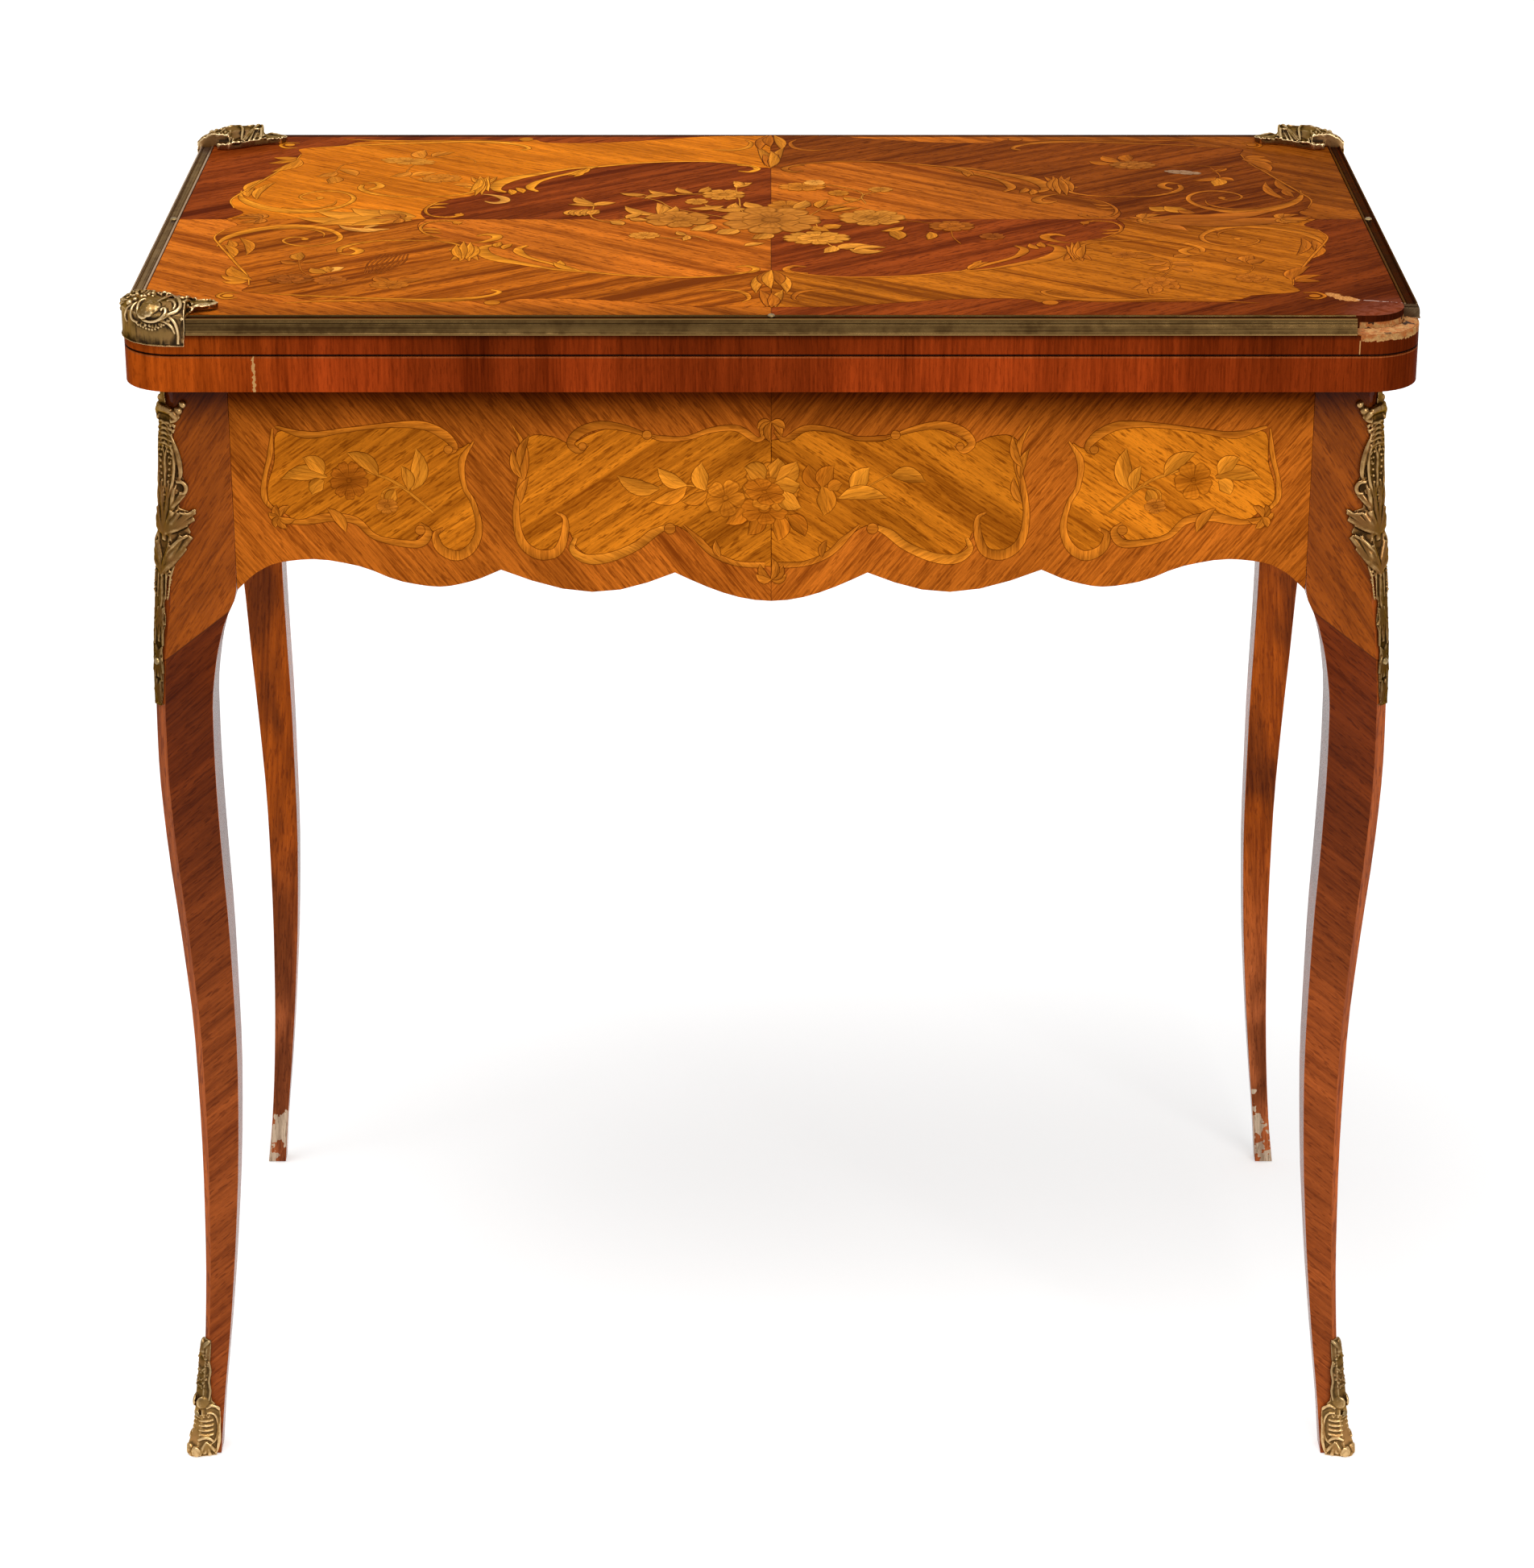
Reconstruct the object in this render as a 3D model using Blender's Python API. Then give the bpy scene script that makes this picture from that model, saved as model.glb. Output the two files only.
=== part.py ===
"""A games table: two hinged leaves that swivel on a stand with four cabriole legs.

The table stands on the plane z = 0 with its front towards -Y. The Z axis passes through the centre
of the stand. The leaves swivel a quarter turn about an off-centre bolt, which uncovers the well, and
the upper leaf then folds over about its back edge to double the playing surface.
"""

import math

import bmesh
import bpy
from mathutils import Vector

# Top
TOP_WIDTH = 0.756
TOP_DEPTH = 0.440
TOP_HEIGHT = 0.758
TOP_CORNER_RADIUS = 0.031
TOP_OVERHANG = 0.021
LEAF_THICKNESS = 0.0215
CORNER_STEPS = 9

# Clearances
GAP = 0.0003
OVERRUN = 0.002

# Baize linings
BAIZE_THICKNESS = 0.0009
BAIZE_BORDER = 0.045
BAIZE_HINGE_BORDER = 0.024
BAIZE_CORNER_RADIUS = 0.004
BAIZE_CORNER_STEPS = 3

# Bronze edge strips of the upper leaf
STRIP_WIDTH = 0.0090
STRIP_PROUD = 0.0012
STRIP_HEIGHT = 0.0098
STRIP_REBATE = 0.0092
STRIP_PROFILE_SHARES = (
    (0.00, 0.00), (1.00, 0.00), (1.00, 0.09), (0.96, 0.15), (0.97, 0.34), (0.95, 0.58), (0.89, 0.78),
    (0.84, 0.86), (0.81, 0.86), (0.80, 1.00), (0.72, 1.00), (0.70, 0.93), (0.14, 0.93), (0.12, 1.00),
    (0.00, 1.00),
)
STRIP_SCREW_INSET = 0.0060
STRIP_SCREW_SHANK_RADIUS = 0.0012
STRIP_SCREW_HEAD_RADIUS = 0.0022
STRIP_SCREW_HEAD_HEIGHT = 0.0012
STRIP_SCREW_LENGTH = 0.0170

# Bronze corner mounts of the upper leaf
MOUNT_FRONT_SPAN = 0.040
MOUNT_SIDE_SPAN = 0.034
MOUNT_LENGTH = 0.057
MOUNT_PROUD = 0.0018
MOUNT_SKIRT = 0.0155
MOUNT_RISE = 0.0095
MOUNT_REACH = 0.0260
MOUNT_LEAF_THICKNESS = 0.0045
MOUNT_CROWN_SHARES = ((0.00, 0.30), (0.10, 0.62), (0.36, 1.00), (0.70, 0.92), (1.00, 0.35))
MOUNT_LEAF_SHARES = (
    (0.175, 0.246), (0.632, 0.205), (0.772, 0.235), (0.912, 0.290), (1.000, 0.386), (0.930, 0.474),
    (0.772, 0.491), (0.632, 0.561), (0.491, 0.667), (0.351, 0.754), (0.215, 0.737), (0.190, 0.526),
)

# Back corner mounts and their rebate stop part of the way round the corner
BACK_CORNER_SHARE = 0.5

# Hinges between the leaves
HINGE_SPREAD = 0.500
HINGE_LENGTH = 0.050
HINGE_PLATE_WIDTH = 0.0165
HINGE_PLATE_THICKNESS = 0.0018
HINGE_EDGE_GAP = 0.0005
KNUCKLE_RADIUS = 0.0028
KNUCKLE_COUNT = 3
HINGE_PIN_RADIUS = 0.0012
HINGE_SCREW_SPREAD = 0.032

# Countersunk screws of the hinges and the pivot plate
SCREW_HEAD_RADIUS = 0.0028
SCREW_SHANK_RADIUS = 0.0013
SCREW_LENGTH = 0.0100

# Stand
POST_SIZE = 0.0385
APRON_THICKNESS = 0.020
APRON_DEPTH = 0.1361
TENON_LENGTH = 0.012
TENON_THICKNESS = 0.008
TENON_SETBACK = 0.006
TENON_TOP_INSET = 0.012
TENON_HEIGHT = 0.068

# Lower edge of a long apron: cusps and low points of its lobes, as shares of half its span and depth
LONG_LOBE_SHARES = ((0.000, 1.000), (0.180, 0.868), (0.335, 0.958), (0.505, 0.855))
LONG_ARCH_SHARES = (
    (0.505, 0.855), (0.560, 0.908), (0.620, 0.934), (0.690, 0.910), (0.770, 0.838), (0.855, 0.806),
    (0.920, 0.822), (0.962, 0.868), (1.000, 0.950),
)
SHORT_LOBE_SHARES = ((0.000, 0.940), (0.320, 0.840))
SHORT_ARCH_SHARES = (
    (0.320, 0.840), (0.390, 0.880), (0.470, 0.875), (0.580, 0.815), (0.720, 0.780), (0.850, 0.790),
    (0.930, 0.850), (1.000, 0.950),
)
LOBE_STEPS = 6
ARCH_STEPS = 3

# Cabriole legs, from the foot up: outward bow of the outer corner and reach of the inner corner
LEG_BOW = 0.0132
LEG_CHAMFER_SHARE = 0.18
LEG_HEIGHT_SHARES = (
    0.00, 0.05, 0.12, 0.20, 0.30, 0.40, 0.50, 0.60, 0.67, 0.72, 0.76, 0.79, 0.82, 0.86, 0.90, 0.95, 1.00,
)
LEG_BOW_SHARES = (
    0.98, 0.62, 0.32, 0.13, 0.05, 0.11, 0.42, 0.82, 0.96, 0.93, 0.83, 0.72, 0.60, 0.38, 0.20, 0.08, 0.00,
)
LEG_REACH_SHARES = (
    0.083, 0.166, 0.312, 0.455, 0.587, 0.647, 0.639, 0.590, 0.569, 0.577, 0.655, 0.790, 1.00, 1.00, 1.00,
    1.00, 1.00,
)
LEG_STEPS = 3

# The front face of a leg turns from level with the apron to level with its own outer corner
LEG_TURN_START_SHARE = 0.70
LEG_TURN_END_SHARE = 0.84

# Rear legs lose part of their width below the frame, from the outside
REAR_SLIM_SHARE = 0.23
REAR_SLIM_START_SHARE = 0.60
REAR_SLIM_END_SHARE = 0.84

# Bronze chutes on the knees of the front legs
CHUTE_TOP_INSET = 0.004
CHUTE_LENGTH = 0.195
CHUTE_THICKNESS = 0.0030
CHUTE_WING = 0.019
CHUTE_RINGS = 18
CHUTE_PLACE_SHARES = (0.00, 0.06, 0.14, 0.28, 0.36, 0.44, 0.53, 0.65, 0.78, 1.00)
CHUTE_WING_SHARES = (0.22, 0.34, 0.44, 0.66, 0.98, 0.90, 0.45, 0.22, 0.12, 0.04)
CHUTE_RELIEF_SHARES = (0.55, 0.90, 1.00, 1.00, 1.00, 1.00, 0.95, 0.85, 0.80, 0.45)

# Bronze sabots on the feet of the front legs
SABOT_HEIGHT = 0.079
SABOT_THICKNESS = 0.0055
SABOT_WING_SHARE = 0.85
SABOT_RINGS = 14
SABOT_PLACE_SHARES = (0.00, 0.12, 0.25, 0.45, 0.60, 0.75, 0.90, 1.00)
SABOT_WING_SHARES = (0.94, 1.00, 1.00, 0.90, 0.52, 0.40, 0.28, 0.10)
SABOT_RELIEF_SHARES = (1.00, 1.00, 0.72, 0.82, 0.80, 0.70, 0.70, 0.25)

# Wings of a chute or sabot thin out towards their edge
WING_EDGE_SHARE = 0.45

# Pins of the chutes and sabots
PIN_SHANK_RADIUS = 0.0009
PIN_HEAD_RADIUS = 0.0022
PIN_HEAD_HEIGHT = 0.0014
PIN_STANDOFF = 0.0006
PIN_DEPTH = 0.0070
CHUTE_PIN_SHARE = 0.855
SABOT_PIN_SHARE = 0.36

# Well
WELL_DEPTH = 0.086
WELL_FLOOR_THICKNESS = 0.008
BATTEN_WIDTH = 0.012
BATTEN_HEIGHT = 0.010
DIVIDER_THICKNESS = 0.012
DIVIDER_OFFSET = 0.080

# Pivot rail, pivot and stop
RAIL_WIDTH = 0.080
RAIL_THICKNESS = 0.022
RAIL_LAP = 0.008
PIVOT_PLATE_SIZE = 0.036
PIVOT_PLATE_THICKNESS = 0.0025
PIVOT_SCREW_SPREAD = 0.025
BOLT_RADIUS = 0.0040
BOLT_HEAD_RADIUS = 0.0070
BOLT_HEAD_HEIGHT = 0.0040
BOLT_END = 0.0030
WASHER_RADIUS = 0.0105
WASHER_THICKNESS = 0.0015
NUT_RADIUS = 0.0080
NUT_HEIGHT = 0.0065
NUT_SIDES = 6
PEG_RADIUS = 0.0030
PEG_ORBIT = 0.032
PEG_START_DEGREES = 135.0
PEG_SOCKET = 0.010
PEG_REACH = 0.006
SWIVEL_DEGREES = 90.0
GROOVE_STEPS = 12

# Round pieces, with the domed heads of screws and pins as shares of a head's height and radius
ROUND_SIDES = 20
SMALL_ROUND_SIDES = 12
DOME_SHARES = ((0.0, 1.0), (0.5, 0.866), (1.0, 0.309))
BOLT_TIP_SHARE = 0.866
SMOOTH_ANGLE = math.radians(35)

# Levels, from the top down
FOLD_LEVEL = TOP_HEIGHT - LEAF_THICKNESS - GAP / 2
UPPER_LEAF_BOTTOM = FOLD_LEVEL + GAP / 2
LOWER_LEAF_TOP = FOLD_LEVEL - GAP / 2
LOWER_LEAF_BOTTOM = LOWER_LEAF_TOP - LEAF_THICKNESS
FRAME_TOP = LOWER_LEAF_BOTTOM - GAP
REBATE_FLOOR = TOP_HEIGHT - STRIP_REBATE
WELL_FLOOR_TOP = FRAME_TOP - WELL_DEPTH
WELL_FLOOR_BOTTOM = WELL_FLOOR_TOP - WELL_FLOOR_THICKNESS

# Places in plan
TOP_HALF_WIDTH = TOP_WIDTH / 2
TOP_HALF_DEPTH = TOP_DEPTH / 2
FRAME_HALF_WIDTH = TOP_HALF_WIDTH - TOP_OVERHANG
FRAME_HALF_DEPTH = TOP_HALF_DEPTH - TOP_OVERHANG
APRON_INNER_X = FRAME_HALF_WIDTH - APRON_THICKNESS
APRON_INNER_Y = FRAME_HALF_DEPTH - APRON_THICKNESS
POST_INNER_X = FRAME_HALF_WIDTH - POST_SIZE
POST_INNER_Y = FRAME_HALF_DEPTH - POST_SIZE
PIVOT_PLACE = Vector((-TOP_DEPTH / 4, TOP_DEPTH / 4, FRAME_TOP))
FOLD_PLACE = Vector((0, TOP_HALF_DEPTH + HINGE_EDGE_GAP, FOLD_LEVEL))
DIVIDER_X = PIVOT_PLACE.x + DIVIDER_OFFSET

UP = (0, 0, 1)
DOWN = (0, 0, -1)
LEFT = -1
RIGHT = 1
FRONT = -1
BACK = 1
SIDE_NAMES = {LEFT: "left", RIGHT: "right"}
END_NAMES = {FRONT: "front", BACK: "rear"}


def clear_scene():
    for old in list(bpy.data.objects):
        bpy.data.objects.remove(old, do_unlink=True)


def make_material(name, colour, roughness, metallic=0.0):
    material = bpy.data.materials.new(name)
    material.use_nodes = True
    shader = material.node_tree.nodes["Principled BSDF"]
    shader.inputs["Base Color"].default_value = (*colour, 1.0)
    shader.inputs["Roughness"].default_value = roughness
    shader.inputs["Metallic"].default_value = metallic
    material.diffuse_color = (*colour, 1.0)
    return material


def smooth_value(places, values, place):
    """Read a curve through the given values, which rises or falls only where they do."""
    rises = [
        (values[i + 1] - values[i]) / (places[i + 1] - places[i])
        for i in range(len(places) - 1)
    ]
    slopes = [rises[0]]
    for before, after in zip(rises, rises[1:]):
        turning = before * after <= 0
        slopes.append(0.0 if turning else 2 * before * after / (before + after))
    slopes.append(rises[-1])
    index = max(i for i in range(len(rises)) if i == 0 or places[i] <= place)
    width = places[index + 1] - places[index]
    t = (place - places[index]) / width
    start = values[index] * (1 + 2 * t) * (1 - t) ** 2
    end = values[index + 1] * t * t * (3 - 2 * t)
    start_slope = slopes[index] * width * t * (1 - t) ** 2
    end_slope = slopes[index + 1] * width * t * t * (t - 1)
    return start + end + start_slope + end_slope


def fade(start, end, place):
    """Go smoothly from 0 at start to 1 at end."""
    t = min(max((place - start) / (end - start), 0.0), 1.0)
    return t * t * (3 - 2 * t)


def mesh_of(builder):
    bmesh.ops.recalc_face_normals(builder, faces=builder.faces)
    mesh = bpy.data.meshes.new("shape")
    builder.to_mesh(mesh)
    builder.free()
    return mesh


def loft(rings):
    """Close a solid over rings of points, each with the same number of points."""
    builder = bmesh.new()
    rows = [[builder.verts.new(point) for point in ring] for ring in rings]
    count = len(rings[0])
    for low, high in zip(rows, rows[1:]):
        for i in range(count):
            j = (i + 1) % count
            builder.faces.new((low[i], low[j], high[j], high[i]))
    builder.faces.new(rows[0])
    builder.faces.new(rows[-1])
    return mesh_of(builder)


def extrude(outline, start, end, place):
    """Run an outline from start to end; place turns (u, v, run) into a point."""
    return loft([[place(u, v, run) for u, v in outline] for run in (start, end)])


def upright(x, y, z):
    return Vector((x, y, z))


def block(low, high):
    outline = ((low[0], low[1]), (high[0], low[1]), (high[0], high[1]), (low[0], high[1]))
    return extrude(outline, low[2], high[2], upright)


def turned(profile, centre, axis, sides=ROUND_SIDES):
    """Turn (height, radius) pairs about an axis through the centre."""
    axis = Vector(axis).normalized()
    across = axis.orthogonal().normalized()
    along = axis.cross(across)
    rings = []
    for height, radius in profile:
        angles = [2 * math.pi * i / sides for i in range(sides)]
        middle = Vector(centre) + axis * height
        rings.append([
            middle + (across * math.cos(angle) + along * math.sin(angle)) * radius for angle in angles
        ])
    return loft(rings)


def dome(seat, height, radius):
    """(height, radius) pairs of a domed head on its seat."""
    return [(seat + rise * height, across * radius) for rise, across in DOME_SHARES]


def combine(body, tool, operation):
    objects = [bpy.data.objects.new("shape", mesh) for mesh in (body, tool)]
    for item in objects:
        bpy.context.collection.objects.link(item)
    modifier = objects[0].modifiers.new("combine", "BOOLEAN")
    modifier.operation = operation
    modifier.solver = "EXACT"
    modifier.object = objects[1]
    graph = bpy.context.evaluated_depsgraph_get()
    result = bpy.data.meshes.new_from_object(objects[0].evaluated_get(graph))
    for item in objects:
        bpy.data.objects.remove(item, do_unlink=True)
    return result


def cut(body, *tools):
    for tool in tools:
        body = combine(body, tool, "DIFFERENCE")
    return body


def fuse(body, *tools):
    for tool in tools:
        body = combine(body, tool, "UNION")
    return body


def add_empty(name, place, parent=None, parent_place=Vector((0, 0, 0))):
    """Add an empty at a place in world coordinates."""
    empty = bpy.data.objects.new(name, None)
    empty.location = place - parent_place
    empty.parent = parent
    bpy.context.collection.objects.link(empty)
    return empty


def add_piece(name, mesh, material, carrier=None, origin=Vector((0, 0, 0))):
    """Add a mesh given in world coordinates; a carried piece has its origin at its carrier."""
    for vertex in mesh.vertices:
        vertex.co -= origin
    mesh.name = name
    mesh.shade_smooth()
    mesh.set_sharp_from_angle(angle=SMOOTH_ANGLE)
    mesh.materials.clear()
    mesh.materials.append(material)
    piece = bpy.data.objects.new(name, mesh)
    if carrier:
        piece.parent = carrier
    else:
        piece.location = origin
    bpy.context.collection.objects.link(piece)
    return piece


def rounded_rectangle(low_x, high_x, low_y, high_y, radius, steps):
    centres = (
        (high_x - radius, high_y - radius), (low_x + radius, high_y - radius),
        (low_x + radius, low_y + radius), (high_x - radius, low_y + radius),
    )
    outline = []
    for quarter, (x, y) in enumerate(centres):
        for step in range(steps + 1):
            angle = (quarter + step / steps) * math.pi / 2
            outline.append((x + radius * math.cos(angle), y + radius * math.sin(angle)))
    return outline


def corner_arc(side, end, start_share, end_share):
    """Points and outward directions round a corner of the top, from its side edge towards its end edge."""
    middle_x = TOP_HALF_WIDTH - TOP_CORNER_RADIUS
    middle_y = TOP_HALF_DEPTH - TOP_CORNER_RADIUS
    stations = []
    for step in range(CORNER_STEPS + 1):
        share = start_share + (end_share - start_share) * step / CORNER_STEPS
        angle = share * math.pi / 2
        outward = Vector((side * math.cos(angle), end * math.sin(angle), 0))
        middle = Vector((side * middle_x, end * middle_y, 0))
        stations.append((middle + outward * TOP_CORNER_RADIUS, outward))
    return stations


def sweep(stations, section):
    """Run a section of (outward, height) pairs along stations of (point, outward direction)."""
    return loft([
        [point + outward * reach + Vector((0, 0, height)) for reach, height in section]
        for point, outward in stations
    ])


# Legs

def leg_bow(height_share, rear):
    """Outward bow and inward reach of a leg, from the corner of the frame."""
    bow = LEG_BOW * smooth_value(LEG_HEIGHT_SHARES, LEG_BOW_SHARES, height_share)
    reach = POST_SIZE * smooth_value(LEG_HEIGHT_SHARES, LEG_REACH_SHARES, height_share)
    if rear:
        slim = REAR_SLIM_SHARE * (1 - fade(REAR_SLIM_START_SHARE, REAR_SLIM_END_SHARE, height_share))
        bow -= slim * (bow + reach)
    return bow, reach


def leg_section(height_share, rear):
    """Five corners of a leg's section, as offsets from the corner of the frame."""
    bow, reach = leg_bow(height_share, rear)
    chamfer = LEG_CHAMFER_SHARE * (bow + reach)
    turn = bow * (1 - fade(LEG_TURN_START_SHARE, LEG_TURN_END_SHARE, height_share))
    return [
        (-reach, turn), (bow - chamfer, bow), (bow, bow - chamfer), (turn, -reach), (-reach, -reach),
    ]


def at_corner(side, end, offset_x, offset_y, height):
    return Vector((side * (FRAME_HALF_WIDTH + offset_x), end * (FRAME_HALF_DEPTH + offset_y), height))


def leg_shares():
    shares = []
    for low, high in zip(LEG_HEIGHT_SHARES, LEG_HEIGHT_SHARES[1:]):
        shares.extend(low + (high - low) * step / LEG_STEPS for step in range(LEG_STEPS))
    return shares + [LEG_HEIGHT_SHARES[-1]]


def leg_mesh(side, end):
    rings = [
        [at_corner(side, end, x, y, share * FRAME_TOP) for x, y in leg_section(share, end == BACK)]
        for share in leg_shares()
    ]
    leg = cut(loft(rings), long_tenon(side, end, GAP), short_tenon(side, end, GAP))
    if end == FRONT:
        leg = cut(leg, chute_pin(side, GAP), sabot_pin(side, GAP))
    return leg


def tenon_levels(clearance):
    top = FRAME_TOP - TENON_TOP_INSET
    return top - TENON_HEIGHT - clearance, top + clearance


def long_tenon(side, end, clearance):
    """Tenon of a front or rear apron, or the mortise for it when given a clearance."""
    low, high = tenon_levels(clearance)
    outer_y = FRAME_HALF_DEPTH - TENON_SETBACK + clearance
    inner_y = FRAME_HALF_DEPTH - TENON_SETBACK - TENON_THICKNESS - clearance
    start_x = POST_INNER_X - OVERRUN
    end_x = POST_INNER_X + TENON_LENGTH + clearance
    xs = sorted((side * start_x, side * end_x))
    ys = sorted((end * inner_y, end * outer_y))
    return block((xs[0], ys[0], low), (xs[1], ys[1], high))


def short_tenon(side, end, clearance):
    """Tenon of a side apron, or the mortise for it when given a clearance."""
    low, high = tenon_levels(clearance)
    outer_x = FRAME_HALF_WIDTH - TENON_SETBACK + clearance
    inner_x = FRAME_HALF_WIDTH - TENON_SETBACK - TENON_THICKNESS - clearance
    start_y = POST_INNER_Y - OVERRUN
    end_y = POST_INNER_Y + TENON_LENGTH + clearance
    xs = sorted((side * inner_x, side * outer_x))
    ys = sorted((end * start_y, end * end_y))
    return block((xs[0], ys[0], low), (xs[1], ys[1], high))


# Chutes and sabots, which wrap round the outer corner of a front leg

def offset_chain(points, distances):
    """Move each point of an open chain to its left by its own distance, mitred at the bends."""
    points = [Vector(point) for point in points]
    normals = []
    for start, finish in zip(points, points[1:]):
        along = (finish - start).normalized()
        normals.append(Vector((-along.y, along.x)))
    moved = []
    for i, point in enumerate(points):
        before = normals[max(i - 1, 0)]
        after = normals[min(i, len(normals) - 1)]
        mitre = (before + after).normalized()
        moved.append(point + mitre * (distances[i] / mitre.dot(after)))
    return moved


def leg_face_width(height):
    """Width of a front leg's front face, from its chamfer to its inner corner."""
    section = leg_section(height / FRAME_TOP, False)
    return (Vector(section[0]) - Vector(section[1])).length


def wrap_ring(side, height, wing, spine):
    """One ring of a bronze piece on the outer corner of a front leg."""
    section = [Vector(corner) for corner in leg_section(height / FRAME_TOP, False)]
    front_face = section[0] - section[1]
    side_face = section[3] - section[2]
    chain = [
        section[1] + front_face.normalized() * wing,
        section[1],
        section[2],
        section[2] + side_face.normalized() * wing,
    ]
    edge = spine * WING_EDGE_SHARE
    under = offset_chain(chain, [GAP] * len(chain))
    over = offset_chain(chain, [GAP + edge, GAP + spine, GAP + spine, GAP + edge])
    return [at_corner(side, FRONT, x, y, height) for x, y in over + under[::-1]]


def chute_top():
    return FRAME_TOP - CHUTE_TOP_INSET


def chute_relief(share):
    return CHUTE_THICKNESS * smooth_value(CHUTE_PLACE_SHARES, CHUTE_RELIEF_SHARES, share)


def chute_mesh(side):
    rings = []
    for step in range(CHUTE_RINGS + 1):
        share = step / CHUTE_RINGS
        wing = CHUTE_WING * smooth_value(CHUTE_PLACE_SHARES, CHUTE_WING_SHARES, share)
        rings.append(wrap_ring(side, chute_top() - share * CHUTE_LENGTH, wing, chute_relief(share)))
    return cut(loft(rings), chute_pin(side, GAP))


def sabot_relief(share):
    return SABOT_THICKNESS * smooth_value(SABOT_PLACE_SHARES, SABOT_RELIEF_SHARES, share)


def sabot_mesh(side):
    rings = []
    for step in range(SABOT_RINGS + 1):
        share = step / SABOT_RINGS
        height = share * SABOT_HEIGHT
        cover_share = SABOT_WING_SHARE * smooth_value(SABOT_PLACE_SHARES, SABOT_WING_SHARES, share)
        wing = cover_share * leg_face_width(height)
        rings.append(wrap_ring(side, height, wing, sabot_relief(share)))
    return cut(loft(rings), sabot_pin(side, GAP))


def pin_at(side, height, relief, clearance):
    """A round-headed pin square to a front leg's chamfer, or the hole for it when given a clearance."""
    section = leg_section(height / FRAME_TOP, False)
    middle = (Vector(section[1]) + Vector(section[2])) / 2
    seat = GAP + relief + PIN_STANDOFF
    shank = PIN_SHANK_RADIUS + clearance
    profile = [(-PIN_DEPTH - clearance, shank), (seat, shank)]
    if not clearance:
        profile += dome(seat, PIN_HEAD_HEIGHT, PIN_HEAD_RADIUS)
    centre = at_corner(side, FRONT, middle.x, middle.y, height)
    return turned(profile, centre, (side, FRONT, 0), SMALL_ROUND_SIDES)


def chute_pin(side, clearance=0.0):
    height = chute_top() - CHUTE_PIN_SHARE * CHUTE_LENGTH
    return pin_at(side, height, chute_relief(CHUTE_PIN_SHARE), clearance)


def sabot_pin(side, clearance=0.0):
    height = SABOT_PIN_SHARE * SABOT_HEIGHT
    return pin_at(side, height, sabot_relief(SABOT_PIN_SHARE), clearance)


# Aprons

def lobe(start, low, end, steps):
    """Points of a hanging lobe from start to end, through a low point between them."""
    place_shares = (0.0, 0.5, 1.0)
    return [
        (
            smooth_value(place_shares, (start[0], low[0], end[0]), step / steps),
            start[1] + (end[1] - start[1]) * step / steps
            + (low[1] - (start[1] + end[1]) / 2) * math.sin(math.pi * step / steps),
        )
        for step in range(steps)
    ]


def apron_edge(lobe_shares, arch_shares):
    """Half of an apron's lower edge, from its middle outwards, as shares of half its span and depth."""
    middle = lobe_shares[0]
    cusp = lobe_shares[1]
    mirrored = (-cusp[0], cusp[1])
    points = lobe(mirrored, middle, cusp, 2 * LOBE_STEPS)[LOBE_STEPS:]
    for start, low, end in zip(lobe_shares[1::2], lobe_shares[2::2], lobe_shares[3::2]):
        points += lobe(start, low, end, LOBE_STEPS)
    places = [place for place, _ in arch_shares]
    depths = [depth for _, depth in arch_shares]
    for low, high in zip(places, places[1:]):
        for step in range(ARCH_STEPS):
            place = low + (high - low) * step / ARCH_STEPS
            points.append((place, smooth_value(places, depths, place)))
    return points + [arch_shares[-1]]


def apron_outline(half_span, lobe_shares, arch_shares):
    half = [
        (place * half_span, FRAME_TOP - depth * APRON_DEPTH)
        for place, depth in apron_edge(lobe_shares, arch_shares)
    ]
    other = [(-along, height) for along, height in half[:0:-1]]
    return other + half + [(half_span, FRAME_TOP), (-half_span, FRAME_TOP)]


def long_apron_mesh(end):
    def place(along, height, run):
        return Vector((along, end * run, height))

    outline = apron_outline(POST_INNER_X - GAP, LONG_LOBE_SHARES, LONG_ARCH_SHARES)
    apron = extrude(outline, APRON_INNER_Y, FRAME_HALF_DEPTH, place)
    apron = fuse(apron, long_tenon(LEFT, end, 0), long_tenon(RIGHT, end, 0))
    return cut(apron, rail_block(GAP))


def short_apron_mesh(side):
    def place(along, height, run):
        return Vector((side * run, along, height))

    outline = apron_outline(POST_INNER_Y - GAP, SHORT_LOBE_SHARES, SHORT_ARCH_SHARES)
    apron = extrude(outline, APRON_INNER_X, FRAME_HALF_WIDTH, place)
    return fuse(apron, short_tenon(side, FRONT, 0), short_tenon(side, BACK, 0))


# Well, divider and pivot rail

def rail_block(clearance):
    """The pivot rail, or the notches that its ends lap into when given a clearance."""
    half_width = RAIL_WIDTH / 2 + clearance
    half_length = APRON_INNER_Y + RAIL_LAP + clearance
    low = FRAME_TOP - RAIL_THICKNESS - clearance
    high = FRAME_TOP + (OVERRUN if clearance else 0)
    x = PIVOT_PLACE.x
    return block((x - half_width, -half_length, low), (x + half_width, half_length, high))


def peg_angle(swivel_degrees):
    return math.radians(PEG_START_DEGREES - swivel_degrees)


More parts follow.
